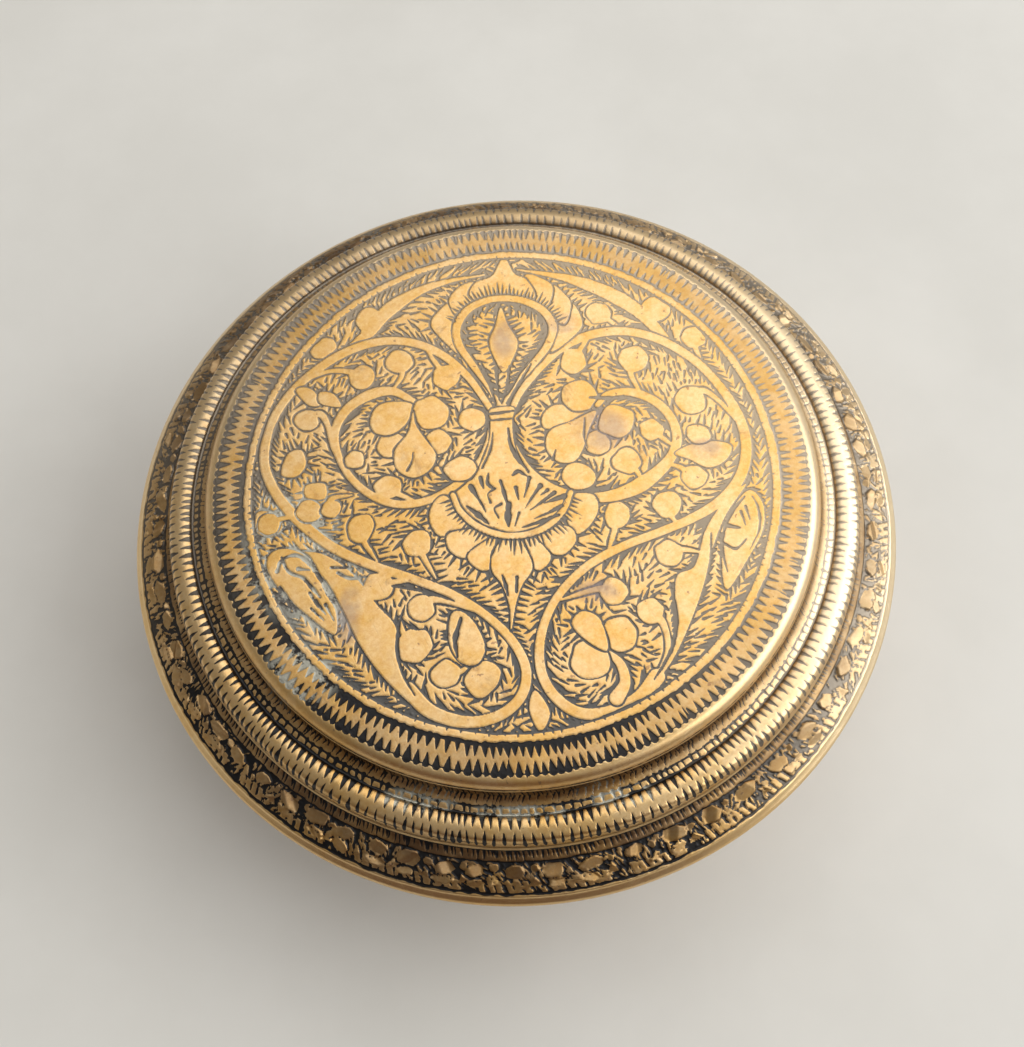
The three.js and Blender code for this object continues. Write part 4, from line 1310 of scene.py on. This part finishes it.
def makeLid(shape):
    rng = np.random.default_rng(shape["seed"])
    top, teeth = engraveTop(rng), engraveTeeth(rng)
    print("engraved the top and its teeth")
    ring, flowers = engraveRing(rng), engraveFlowerBand(rng)
    print("engraved the rings and the flower band")
    outside, under, distance = lidProfile(shape)
    rows, masks = [], {"cut": [], "worn": [], "grimeAndShade": []}

    def addRow(points, cut, worn, grimeAndShade):
        rows.append(points)
        for key, values in (("cut", cut), ("worn", worn), ("grimeAndShade", grimeAndShade)):
            masks[key].append(values)

    normals, heights = profileNormals(outside), ridges(distance[:len(outside)], shape["ridges"])
    for (radius, z), far, (outward, upward), rise in zip(outside, distance, normals, heights):
        angle = around(columnsAt(radius) if radius > 0.01 else 1)
        along = np.full(len(angle), far)
        depth = shape["cutDepth"]
        if far < 39.3:
            cut = top.sample(radius * np.cos(angle), radius * np.sin(angle)) if radius > 0.01 else np.zeros(1)
            if far > 38.3:
                cut = np.maximum(cut, teeth.sample(angle * 42.1, along))
        elif far < 46.1:
            cut = teeth.sample(angle * 42.1, along)
        elif far < 58.65:
            cut = ring.sample(angle * 50.4, along)
        else:
            cut = flowers.sample(angle * 56.4, along)
            rise = rise + flowers.sample(angle * 56.4, along, flowers.lift)
            depth = shape["bandDepth"]
        proud = rise - depth * sunk(cut)
        worn = np.interp(far, *zip(*shape["worn"])) * (1 - cut)
        addRow(turnedRow(radius + outward * proud, z + upward * proud, angle), cut, worn, lidGrimeAndShade(shape, far, angle))
    for index, (radius, z) in enumerate(under):
        # plain underneath, with half as many points in each of the first rows
        count = 2048 >> index if index < 3 else columnsAt(radius, 256) if radius > 0.01 else 1
        angle = around(count)
        # the underside gets an even share of grime and painted shade
        addRow(turnedRow(radius, z, angle), np.zeros(count), np.zeros(count), np.full(count, 0.35))
    points = np.vstack(rows)
    points[:, 2] += outOfTrue(points, np.random.default_rng(5), [38, 17, 9], shape["unevenness"])
    rows = np.split(points, np.cumsum([len(row) for row in rows])[:-1])
    unwrap = uvTurned(distance, 44.75, distance[len(outside) - 1])
    piece = skin("lid_engraved", rows, masks, engravedBrass, "lid", "lid_shell", unwrap)
    print("lid made:", len(points), "points")
    return piece


makeLid(lidShape)


def masksFor(rows, distance, worn, grimeAndShade, cuts=None):
    # the same worn, grime and painted shade all the way round, read off by the distance along the profile
    return {
        "cut": cuts or [np.zeros(len(row)) for row in rows],
        "worn": [np.full(len(row), np.interp(far, *zip(*worn))) for row, far in zip(rows, distance)],
        "grimeAndShade": [np.full(len(row), np.interp(far, *zip(*grimeAndShade))) for row, far in zip(rows, distance)],
    }


bodyShape = {
    "wall": 55.3,  # outer radius
    "floor": 3.8,
    "mouth": 36.0,
    "beads": [10.6, 30.2],  # heights of the two turned beads
    "cutDepth": 0.085,
    "waves": 10,  # leaves of the frieze, each way
    "teeth": 290,
    "barbs": {"pitch": 1, "slant": 44, "longest": 1.9, "shortest": 0.3, "share": 0.42, "thick": 0.24, "thin": 0.05},
    "seed": 23,
}


def drawWave(plate, x, middle, each, up, rng, roots):
    # one bend of the running stem with its curled leaf; along is a share of the bend, rise is in millimetres
    def at(along, rise):
        return x + along * each, middle + up * rise

    stem = band([at(-0.52, -3.6), at(-0.25, -4.7), at(0.05, -3), at(0.3, 0.4), at(0.5, 3.6)], [1.2, 1.4, 1.4, 1.2], up)
    curl = band([at(0.02, -3.2), at(-0.26, -2.2), at(-0.42, 0.8), at(-0.34, 3.6), at(-0.06, 4.5), at(0.16, 3),
                 at(0.12, 1)], [1.2, 1.1, 1, 1, 1.3], -up)
    leaves = [
        blob([at(0.1, 1.8), at(0.02, -0.4), at(-0.12, -1), at(-0.24, 0), at(-0.18, 1.2)], up),
        blob([at(0.1, 1.6), at(-0.08, 1), at(-0.2, 1.8), at(-0.1, 3), at(0.04, 2.8)], up),
    ]
    drawGroup(plate, [stem, curl], rng, 0.26, roots)
    for leaf in leaves:
        drawGroup(plate, [leaf], rng, 0.24, roots)
    for along, rise, size in ((0.3, -2.2, 1), (0.34, -4.4, 0.8), (-0.02, -1.6, 0.8), (-0.44, 4.6, 0.8)):
        drawGroup(plate, [berry(*at(along, rise), size, rng)], rng, 0.24, roots)


def engraveWall(shape):
    # the frieze between two rows of teeth; x runs round the wall and y is the height
    rng = np.random.default_rng(shape["seed"])
    low, high = shape["beads"][0] + 1, shape["beads"][1] - 1
    plate = Plate((0, low - 0.5), (2 * np.pi * shape["wall"], high + 0.5), 0.08, wraps=True)
    for y in (low + 0.25, high - 0.25, low + 2.3, high - 2.3):
        ringLine(plate, y, 0.3, rng)
    places = unevenPlaces(plate.length, shape["teeth"], rng)
    wide = 1.2 * rng.uniform(0.4, 0.8, shape["teeth"])
    wedgeRow(plate, places, low + 0.3, low + 1.7, wide, rng, uneven=0.12)
    wedgeRow(plate, places, high - 0.3, high - 1.7, wide, rng, uneven=0.12)
    y = plate.low[1] + plate.pitch[1] * np.arange(len(plate.cut))
    plate.left[(y < low + 2.5) | (y > high - 2.5)] = True
    bends = 2 * shape["waves"]
    each, roots = plate.length / bends, []
    for index in range(bends):
        drawWave(plate, index * each, (low + high) / 2, each, 1 if index % 2 else -1, rng, roots)
    growBarbs(plate, roots, rng, shape["barbs"])
    plate.soften()
    return plate


def makeBody(shape):
    plate = engraveWall(shape)
    wall, floor, mouth = shape["wall"], shape["floor"], shape["mouth"]
    low, high = shape["beads"]
    inside, insideFar = evenProfile([
        [(0, floor), (49, floor)], arc(49, floor + 4.6, 4.6, -90, 0, 10), [(53.6, mouth - 0.3), (53.9, mouth)],
    ], 0.9)
    outside, outsideFar = evenProfile([
        [(53.9, mouth), (wall - 0.3, mouth), (wall, mouth - 0.3)], arc(wall, high, 0.9, 90, -90, 10),
        arc(wall, low, 0.9, 90, -90, 10), arc(wall - 6.2, 8.4, 6.2, 0, -90, 14),
    ], 0.2)
    under, underFar = evenProfile([[(wall - 6.2, 2.2), (0, 2.2)]], 1.2)
    profile = np.vstack([inside, outside[1:], under[1:]])
    wallStart, wallEnd = insideFar[-1], insideFar[-1] + outsideFar[-1]
    distance = np.concatenate([insideFar, wallStart + outsideFar[1:], wallEnd + underFar[1:]])
    rows, cutRows = [], []
    columns = 32
    for (radius, z), far, (outward, upward) in zip(profile, distance, profileNormals(profile)):
        # a row has no more than twice the points of the one before, and no fewer than half
        if wallStart + 1.2 < far < wallEnd - 2:
            wanted = 2048
        else:
            wanted = columnsAt(radius, 256)
        columns = 1 if radius < 0.01 else (32 if columns == 1 else int(np.clip(wanted, columns // 2, columns * 2)))
        angle = around(columns)
        cut = np.zeros(columns)
        if low + 1 < z < high - 1 and wallStart < far < wallEnd:
            cut = plate.sample(angle * wall, np.full(columns, z))
        proud = -shape["cutDepth"] * sunk(cut)
        rows.append(turnedRow(radius + outward * proud, z + upward * proud, angle))
        cutRows.append(cut)
    worn = [(0, 0), (wallStart, 0.1), (wallStart + 0.6, 0.6), (wallStart + 1.4, 0.4), (wallStart + 2, 0),
            (wallEnd - 8, 0.1), (wallEnd, 0)]
    # grime and painted shade: darker in the inside corner, beside the beads and underneath
    grimeAndShade = [(0, 0.25), (44, 0.25), (52, 0.6), (60, 0.3), (wallStart, 0.2), (wallStart + 5.5, 0.2),
             (wallStart + 7.4, 0.6), (wallStart + 10.6, 0.25), (wallStart + 28, 0.25), (wallStart + 30.5, 0.6),
             (wallStart + 34, 0.2), (wallEnd, 0.5), (distance[-1], 0.6)]
    piece = skin("body_engraved", rows, masksFor(rows, distance, worn, grimeAndShade, cutRows), engravedBrass, "box",
                 "body_shell", uvTurned(distance, wallStart, wallEnd))
    print("body made:", len(piece.data.vertices), "points")


# rings turned from closed profiles; worn, and grime with painted shade in the corners, are by shares of the way round
# the profile
turnedRings = {
    "foot_turned": {
        "node": "foot_ring", "body": "box", "step": 0.2,
        "profile": [[(47, 1.9), (49.1, 1.9)], arc(49.6, 0.75, 0.75, 60, -80, 8),
                    [(49.2, 0), (46.6, 0), (46.2, 0.4), (46.2, 1.6), (46.5, 1.9)]],
        "worn": [(0, 0), (0.35, 0.2), (0.5, 0.8), (0.62, 0.2), (1, 0)],
        "grimeAndShade": [(0, 0.7), (0.3, 0.4), (0.5, 0.2), (1, 0.7)],
    },
    "mouth_turned": {
        "node": "mouth_ring", "body": "box", "step": 0.2,
        "profile": [[(55.9, 36), (57.4, 36)], arc(57.4, 34.8, 1.2, 90, -90, 14),
                    [(57.4, 33.6), (55.7, 33.6), (55.6, 33.8), (55.6, 35.8), (55.8, 36)]],
        "worn": [(0, 0.1), (0.25, 0.6), (0.4, 0.4), (0.6, 0), (1, 0)],
        "grimeAndShade": [(0, 0.3), (0.25, 0.1), (0.5, 0.5), (1, 0.6)],
    },
    "collar_turned": {
        "node": "lid_collar", "body": "lid", "step": 0.25,
        "profile": [[(51.9, 37), (53, 37), (53.1, 36.9), (53.1, 33.1)], arc(52.8, 33.1, 0.3, 0, -90, 4),
                    [(52.1, 32.8)], arc(52.1, 33.1, 0.3, -90, -180, 4), [(51.8, 36.9)]],
        "worn": [(0, 0), (0.3, 0.2), (0.5, 0.6), (0.6, 0.2), (1, 0)],
        "grimeAndShade": [(0, 0.5), (0.4, 0.2), (1, 0.5)],
    },
}


def makeRings(rings, columns=384):
    for name, look in rings.items():
        points, distance = evenProfile(look["profile"] + [[look["profile"][0][0]]], look["step"])
        rows = [turnedRow(radius, z, around(columns)) for radius, z in points[:-1]]
        masks = masksFor(rows, distance[:-1] / distance[-1], look["worn"], look["grimeAndShade"])
        skin(name, rows, masks, plainBrass, look["body"], look["node"], closed=True)
    print("rings made")


cupShape = {
    "rim": 17.1,
    "height": 26.4,
    "base": 9.4,
    "corner": 5.0,
    "bead": 0.9,
    "sheet": 1.1,
    "scribed": [3.6, 4.6, 17.5],  # lines outside, by their distance from the lip
    "dents": 5,
    "standsAt": 4.1,  # height of the cup's underside in the box
    "ring": 35.0,  # from the box's axis to each outer cup's
    "outer": 6,
    "seed": 40,
}


def cupProfile(shape):
    rim, bead, sheet = shape["rim"] - shape["bead"], shape["bead"], shape["sheet"]
    base, corner, beadAt = shape["base"], shape["corner"], shape["height"] - shape["bead"]
    inside, insideFar = evenProfile([
        [(0, sheet)], arc(base, corner, corner - sheet, -90, -10, 8),
        [(rim - sheet, beadAt - 1), (rim - sheet, beadAt)], arc(rim, beadAt, bead, 90, 60, 3)[1:],
    ], 0.5)
    outside, outsideFar = evenProfile([
        arc(rim, beadAt, bead, 60, -60, 10), [(rim, beadAt - 1.2)], arc(base, corner, corner, -10, -90, 12), [(0, 0)],
    ], 0.4)
    lip = insideFar[-1]
    profile = np.vstack([inside, outside[1:]])
    distance = np.concatenate([insideFar, lip + outsideFar[1:]])
    rise = ridges(distance, [(lip + far, 0.22, -0.07) for far in shape["scribed"]])
    return profile + profileNormals(profile) * rise[:, None], distance, lip


def cupColumns(profile):
    counts = [1 if radius < 0.01 else columnsAt(radius * 3.2, 192) if radius < 8 else 192 for radius, _ in profile]
    for order in (range(1, len(counts) - 1), range(len(counts) - 2, 0, -1)):
        step = order.step
        for index in order:
            if counts[index] > 2 * counts[index - step] > 2:
                counts[index] = 2 * counts[index - step]
    return counts


def makeCup(node, x, y, seed, shape):
    # every cup is spun over the same block, and each has its own turn and small dents
    rng = np.random.default_rng(seed)
    profile, distance, lip = cupProfile(shape)
    counts = cupColumns(profile)
    points = np.vstack([turnedRow(radius, z, around(count)) for (radius, z), count in zip(profile, counts)])
    rim = shape["rim"] - shape["bead"]
    for _ in range(shape["dents"]):
        way = rng.uniform(0, 2 * np.pi)
        spot = np.array([rim * np.cos(way), rim * np.sin(way), rng.uniform(6, 22)])
        dent = np.exp(-((points - spot) ** 2).sum(1) / rng.uniform(2, 4) ** 2) * rng.uniform(0.05, 0.14)
        points[:, :2] *= 1 - (dent / np.maximum(np.hypot(*points[:, :2].T), 1))[:, None]
    turn = rng.uniform(0, 2 * np.pi)
    points[:, :2] = points[:, :2] @ np.array([[np.cos(turn), np.sin(turn)], [-np.sin(turn), np.cos(turn)]])
    rows = np.split(points + (x, y, shape["standsAt"]), np.cumsum(counts)[:-1])
    end = distance[-1]
    worn = [(0, 0.05), (lip - 2, 0.1), (lip, 0.8), (lip + 1.4, 0.3), (lip + 3, 0), (end - 12, 0.3), (end, 0.1)]
    # grime and painted shade: darker in the inside corner, under the bead and underneath
    grimeAndShade = [(0, 0.2), (9, 0.35), (14, 0.2), (lip - 1, 0.1), (lip + 1.6, 0.1), (lip + 2.6, 0.6), (lip + 4, 0.25),
             (end - 10, 0.15), (end, 0.4)]
    skin(node + "_turned", rows, masksFor(rows, distance, worn, grimeAndShade), cupBrass, node, node)


def makeCups(shape):
    makeCup("cup_middle", 0, 0, shape["seed"], shape)
    for index, angle in enumerate(around(shape["outer"])):
        x, y = shape["ring"] * np.cos(angle), shape["ring"] * np.sin(angle)
        makeCup(f"cup_{index + 1}", x, y, shape["seed"] + 1 + index, shape)
    print("cups made")


spoonShape = {
    "bowlX": -31.0,
    "bowlLength": 20.0,
    "bowlWidth": 14.6,
    "bowlDepth": 3.6,
    "tipX": 25.0,
    "neck": 3.4,
    "end": 6.4,
    "endRound": 3.2,  # length of the handle's rounded end
    "thick": 1.6,
    "rib": 0.25,  # height of the rib along the handle
    "liesAt": 30.8,
}


def spoonSection(shape, x, neckX, across):
    # heights of the top and the underside across the spoon at x, and how far inward and how hollow each place is
    thick, tipX, endRound = shape["thick"], shape["tipX"], shape["endRound"]
    share = (x - shape["bowlX"]) / (shape["bowlLength"] / 2)
    bowl = np.sqrt(max(1 - share * share, 0)) * shape["bowlWidth"] / 2
    taper = np.clip((x - neckX) / (tipX - neckX), 0, 1)
    over = np.clip((x - (tipX - endRound)) / endRound, 0, 1)
    handle = (shape["neck"] + (shape["end"] - shape["neck"]) * taper) / 2 * np.sqrt(1 - over * over)
    join = np.clip((x - (neckX - 1.6)) / 2.4, 0, 1)
    half = max(bowl, handle * join if x > shape["bowlX"] else 0, 0.25)
    y = across * half
    hollow = np.zeros(len(y))
    if share < 1:
        hollow = np.clip(1 - share**2 - (y / (shape["bowlWidth"] / 2)) ** 2, 0, 1)
    inward = np.clip((half - np.abs(y)) / 1.1, 0, 1)
    rounded = np.sqrt(1 - (1 - inward) ** 2)
    upper = thick - 0.3 + 0.3 * rounded - shape["bowlDepth"] * hollow * np.clip(inward * 1.6, 0, 1)
    lower = 0.35 * (1 - rounded) + (thick - 1) * (1 - join) * (hollow > 0) - shape["bowlDepth"] * hollow
    lower = np.minimum(lower, upper - 0.7)
    rib = shape["rib"] * np.exp(-((y / 0.7) ** 2)) * np.clip((x - neckX) / 6, 0, 1) * (1 - over)
    upper = np.minimum(upper + rib - 0.12 * (x > neckX), thick)
    return y, upper, lower, inward, hollow


def makeSpoon(shape):
    # cross sections from the tip of the bowl to the end of the handle; each runs over the top and back under
    startX = shape["bowlX"] - shape["bowlLength"] / 2
    neckX = shape["bowlX"] + shape["bowlLength"] / 2 - 0.6
    bowl = startX + (neckX - startX) * (1 - np.cos(np.linspace(0.12, np.pi * 0.93, 56))) / 2
    handle = np.linspace(neckX + 0.3, shape["tipX"] - 3, 60)
    end = shape["tipX"] - 3 + 3 * np.sin(np.linspace(0.1, np.pi / 2 - 0.16, 12))
    across = np.cos(np.linspace(0, np.pi, 25))
    back = slice(-2, 0, -1)  # the underside runs back without the two edges
    rows, masks = [], {"cut": [], "worn": [], "grimeAndShade": []}
    for x in np.concatenate([bowl, handle, end]):
        y, upper, lower, inward, hollow = spoonSection(shape, x, neckX, across)
        row = np.column_stack([np.full(48, x), np.concatenate([y, y[back]]), np.concatenate([upper, lower[back]])])
        rows.append(row + (0, 0, shape["liesAt"]))
        edge = np.exp(-((inward / 0.4) ** 2))
        masks["worn"].append(0.6 * np.concatenate([edge, 0.4 * edge[back]]))
        # grime and painted shade: darker in the hollow of the bowl
        masks["grimeAndShade"].append(0.15 + 0.2 * np.concatenate([hollow, np.zeros(23)]))
        masks["cut"].append(np.zeros(48))
    # both ends close on a single point
    first, last = (np.array([[x, 0, row[:, 2].mean()]]) for x, row in ((startX, rows[0]), (shape["tipX"], rows[-1])))
    rows = [first] + rows + [last]
    masks = {key: [np.zeros(1)] + values + [np.zeros(1)] for key, values in masks.items()}
    skin("spoon_forged", rows, masks, plainBrass, "spoon", "spoon")
    print("spoon made")


makeBody(bodyShape)
makeRings(turnedRings)
makeCups(cupShape)
makeSpoon(spoonShape)


def makeFloor():
    mesh = bpy.data.meshes.new("floor")
    mesh.from_pydata([(-6, -6, 0), (6, -6, 0), (6, 6, 0), (-6, 6, 0)], [], [(0, 1, 2, 3)])
    floor = bpy.data.objects.new("floor", mesh)
    scene.collection.objects.link(floor)
    material = bpy.data.materials.new("paleFloor")
    material.use_nodes = True
    tree = material.node_tree
    tree.nodes.clear()
    tone = remap(tree, noise(tree, objectPlace(tree), 14.0, 5.0, 0.6), 0.3, 0.7)
    color = mixColor(tree, tone, (0.7, 0.68, 0.62, 1), (0.76, 0.74, 0.68, 1))
    shader = add(tree, "ShaderNodeBsdfPrincipled", {"Base Color": color, "Roughness": 0.7}).outputs[0]
    add(tree, "ShaderNodeOutputMaterial", {"Surface": shader})
    mesh.materials.append(material)


# place, size, brightness and color of each soft light; both are aimed at the box
lights = {
    "window": {"at": (1.35, -0.1, 1.0), "size": (2.0, 1.2), "glow": 2.8, "color": (0.95, 0.975, 1.0)},
    "ceiling": {"at": (0.35, 0.85, 1.7), "size": (1.7, 1.7), "glow": 1.3, "color": (1.0, 0.985, 0.96)},
}


def makeLights():
    for name, look in lights.items():
        data = bpy.data.lights.new(name, "AREA")
        data.shape = "RECTANGLE"
        data.size, data.size_y = look["size"]
        data.energy, data.color = look["glow"] * np.pi * data.size * data.size_y, look["color"]
        lamp = bpy.data.objects.new(name, data)
        lamp.location = look["at"]
        aim = Vector((0, 0, 0.03)) - Vector(look["at"])
        lamp.rotation_euler = aim.to_track_quat("-Z", "Y").to_euler()
        scene.collection.objects.link(lamp)


def makeRoom():
    # pale overhead and behind, brown and darker in front
    world = bpy.data.worlds.new("room")
    world.use_nodes = True
    tree = world.node_tree
    tree.nodes.clear()
    way = add(tree, "ShaderNodeTexCoord").outputs["Generated"]
    parts = add(tree, "ShaderNodeSeparateXYZ", {0: way}).outputs
    side = calc(tree, "ADD", calc(tree, "MULTIPLY", parts[0], 0.55), calc(tree, "MULTIPLY", parts[1], 0.3))
    share = remap(tree, calc(tree, "ADD", side, calc(tree, "MULTIPLY", parts[2], 0.35)), -0.5, 0.8)
    color = mixColor(tree, share, (0.2, 0.185, 0.16, 1), (0.62, 0.62, 0.64, 1))
    front = calc(tree, "SUBTRACT", calc(tree, "MULTIPLY", parts[1], -1.0), calc(tree, "MULTIPLY", parts[2], 0.25))
    left = calc(tree, "ADD", calc(tree, "MULTIPLY", parts[0], -0.75), calc(tree, "MULTIPLY", parts[2], -0.6))
    color = mixColor(tree, remap(tree, left, 0.1, 0.7), color, (0.56, 0.53, 0.49, 1))
    color = mixColor(tree, remap(tree, front, 0.36, 0.86), color, (0.135, 0.07, 0.052, 1))
    # seen directly, the backdrop is plain and pale
    color = mixColor(tree, add(tree, "ShaderNodeLightPath").outputs["Is Camera Ray"], color, (0.7, 0.69, 0.66, 1))
    background = add(tree, "ShaderNodeBackground", {"Color": color, "Strength": 0.9}).outputs[0]
    add(tree, "ShaderNodeOutputWorld", {0: background})
    scene.world = world


view = {
    "at": (0.00564, -0.0655, 0.1913),
    "forward": (-0.03415, 0.37628, -0.92586),
    "right": (0.99942, 0.01286, -0.03164),
    "lens": 36.07,
}


def makeCamera():
    data = bpy.data.cameras.new("camera")
    data.sensor_fit, data.sensor_height, data.lens = "VERTICAL", 36.0, view["lens"]
    data.clip_start = 0.01
    camera = bpy.data.objects.new("camera", data)
    forward, right = Vector(view["forward"]).normalized(), Vector(view["right"]).normalized()
    up = right.cross(forward).normalized()
    turn = Matrix((right, up, -forward)).transposed().to_4x4()
    camera.matrix_world = Matrix.Translation(view["at"]) @ turn
    scene.collection.objects.link(camera)
    scene.camera = camera


makeFloor()
makeLights()
makeRoom()
makeCamera()
print("floor, lights and camera ready")
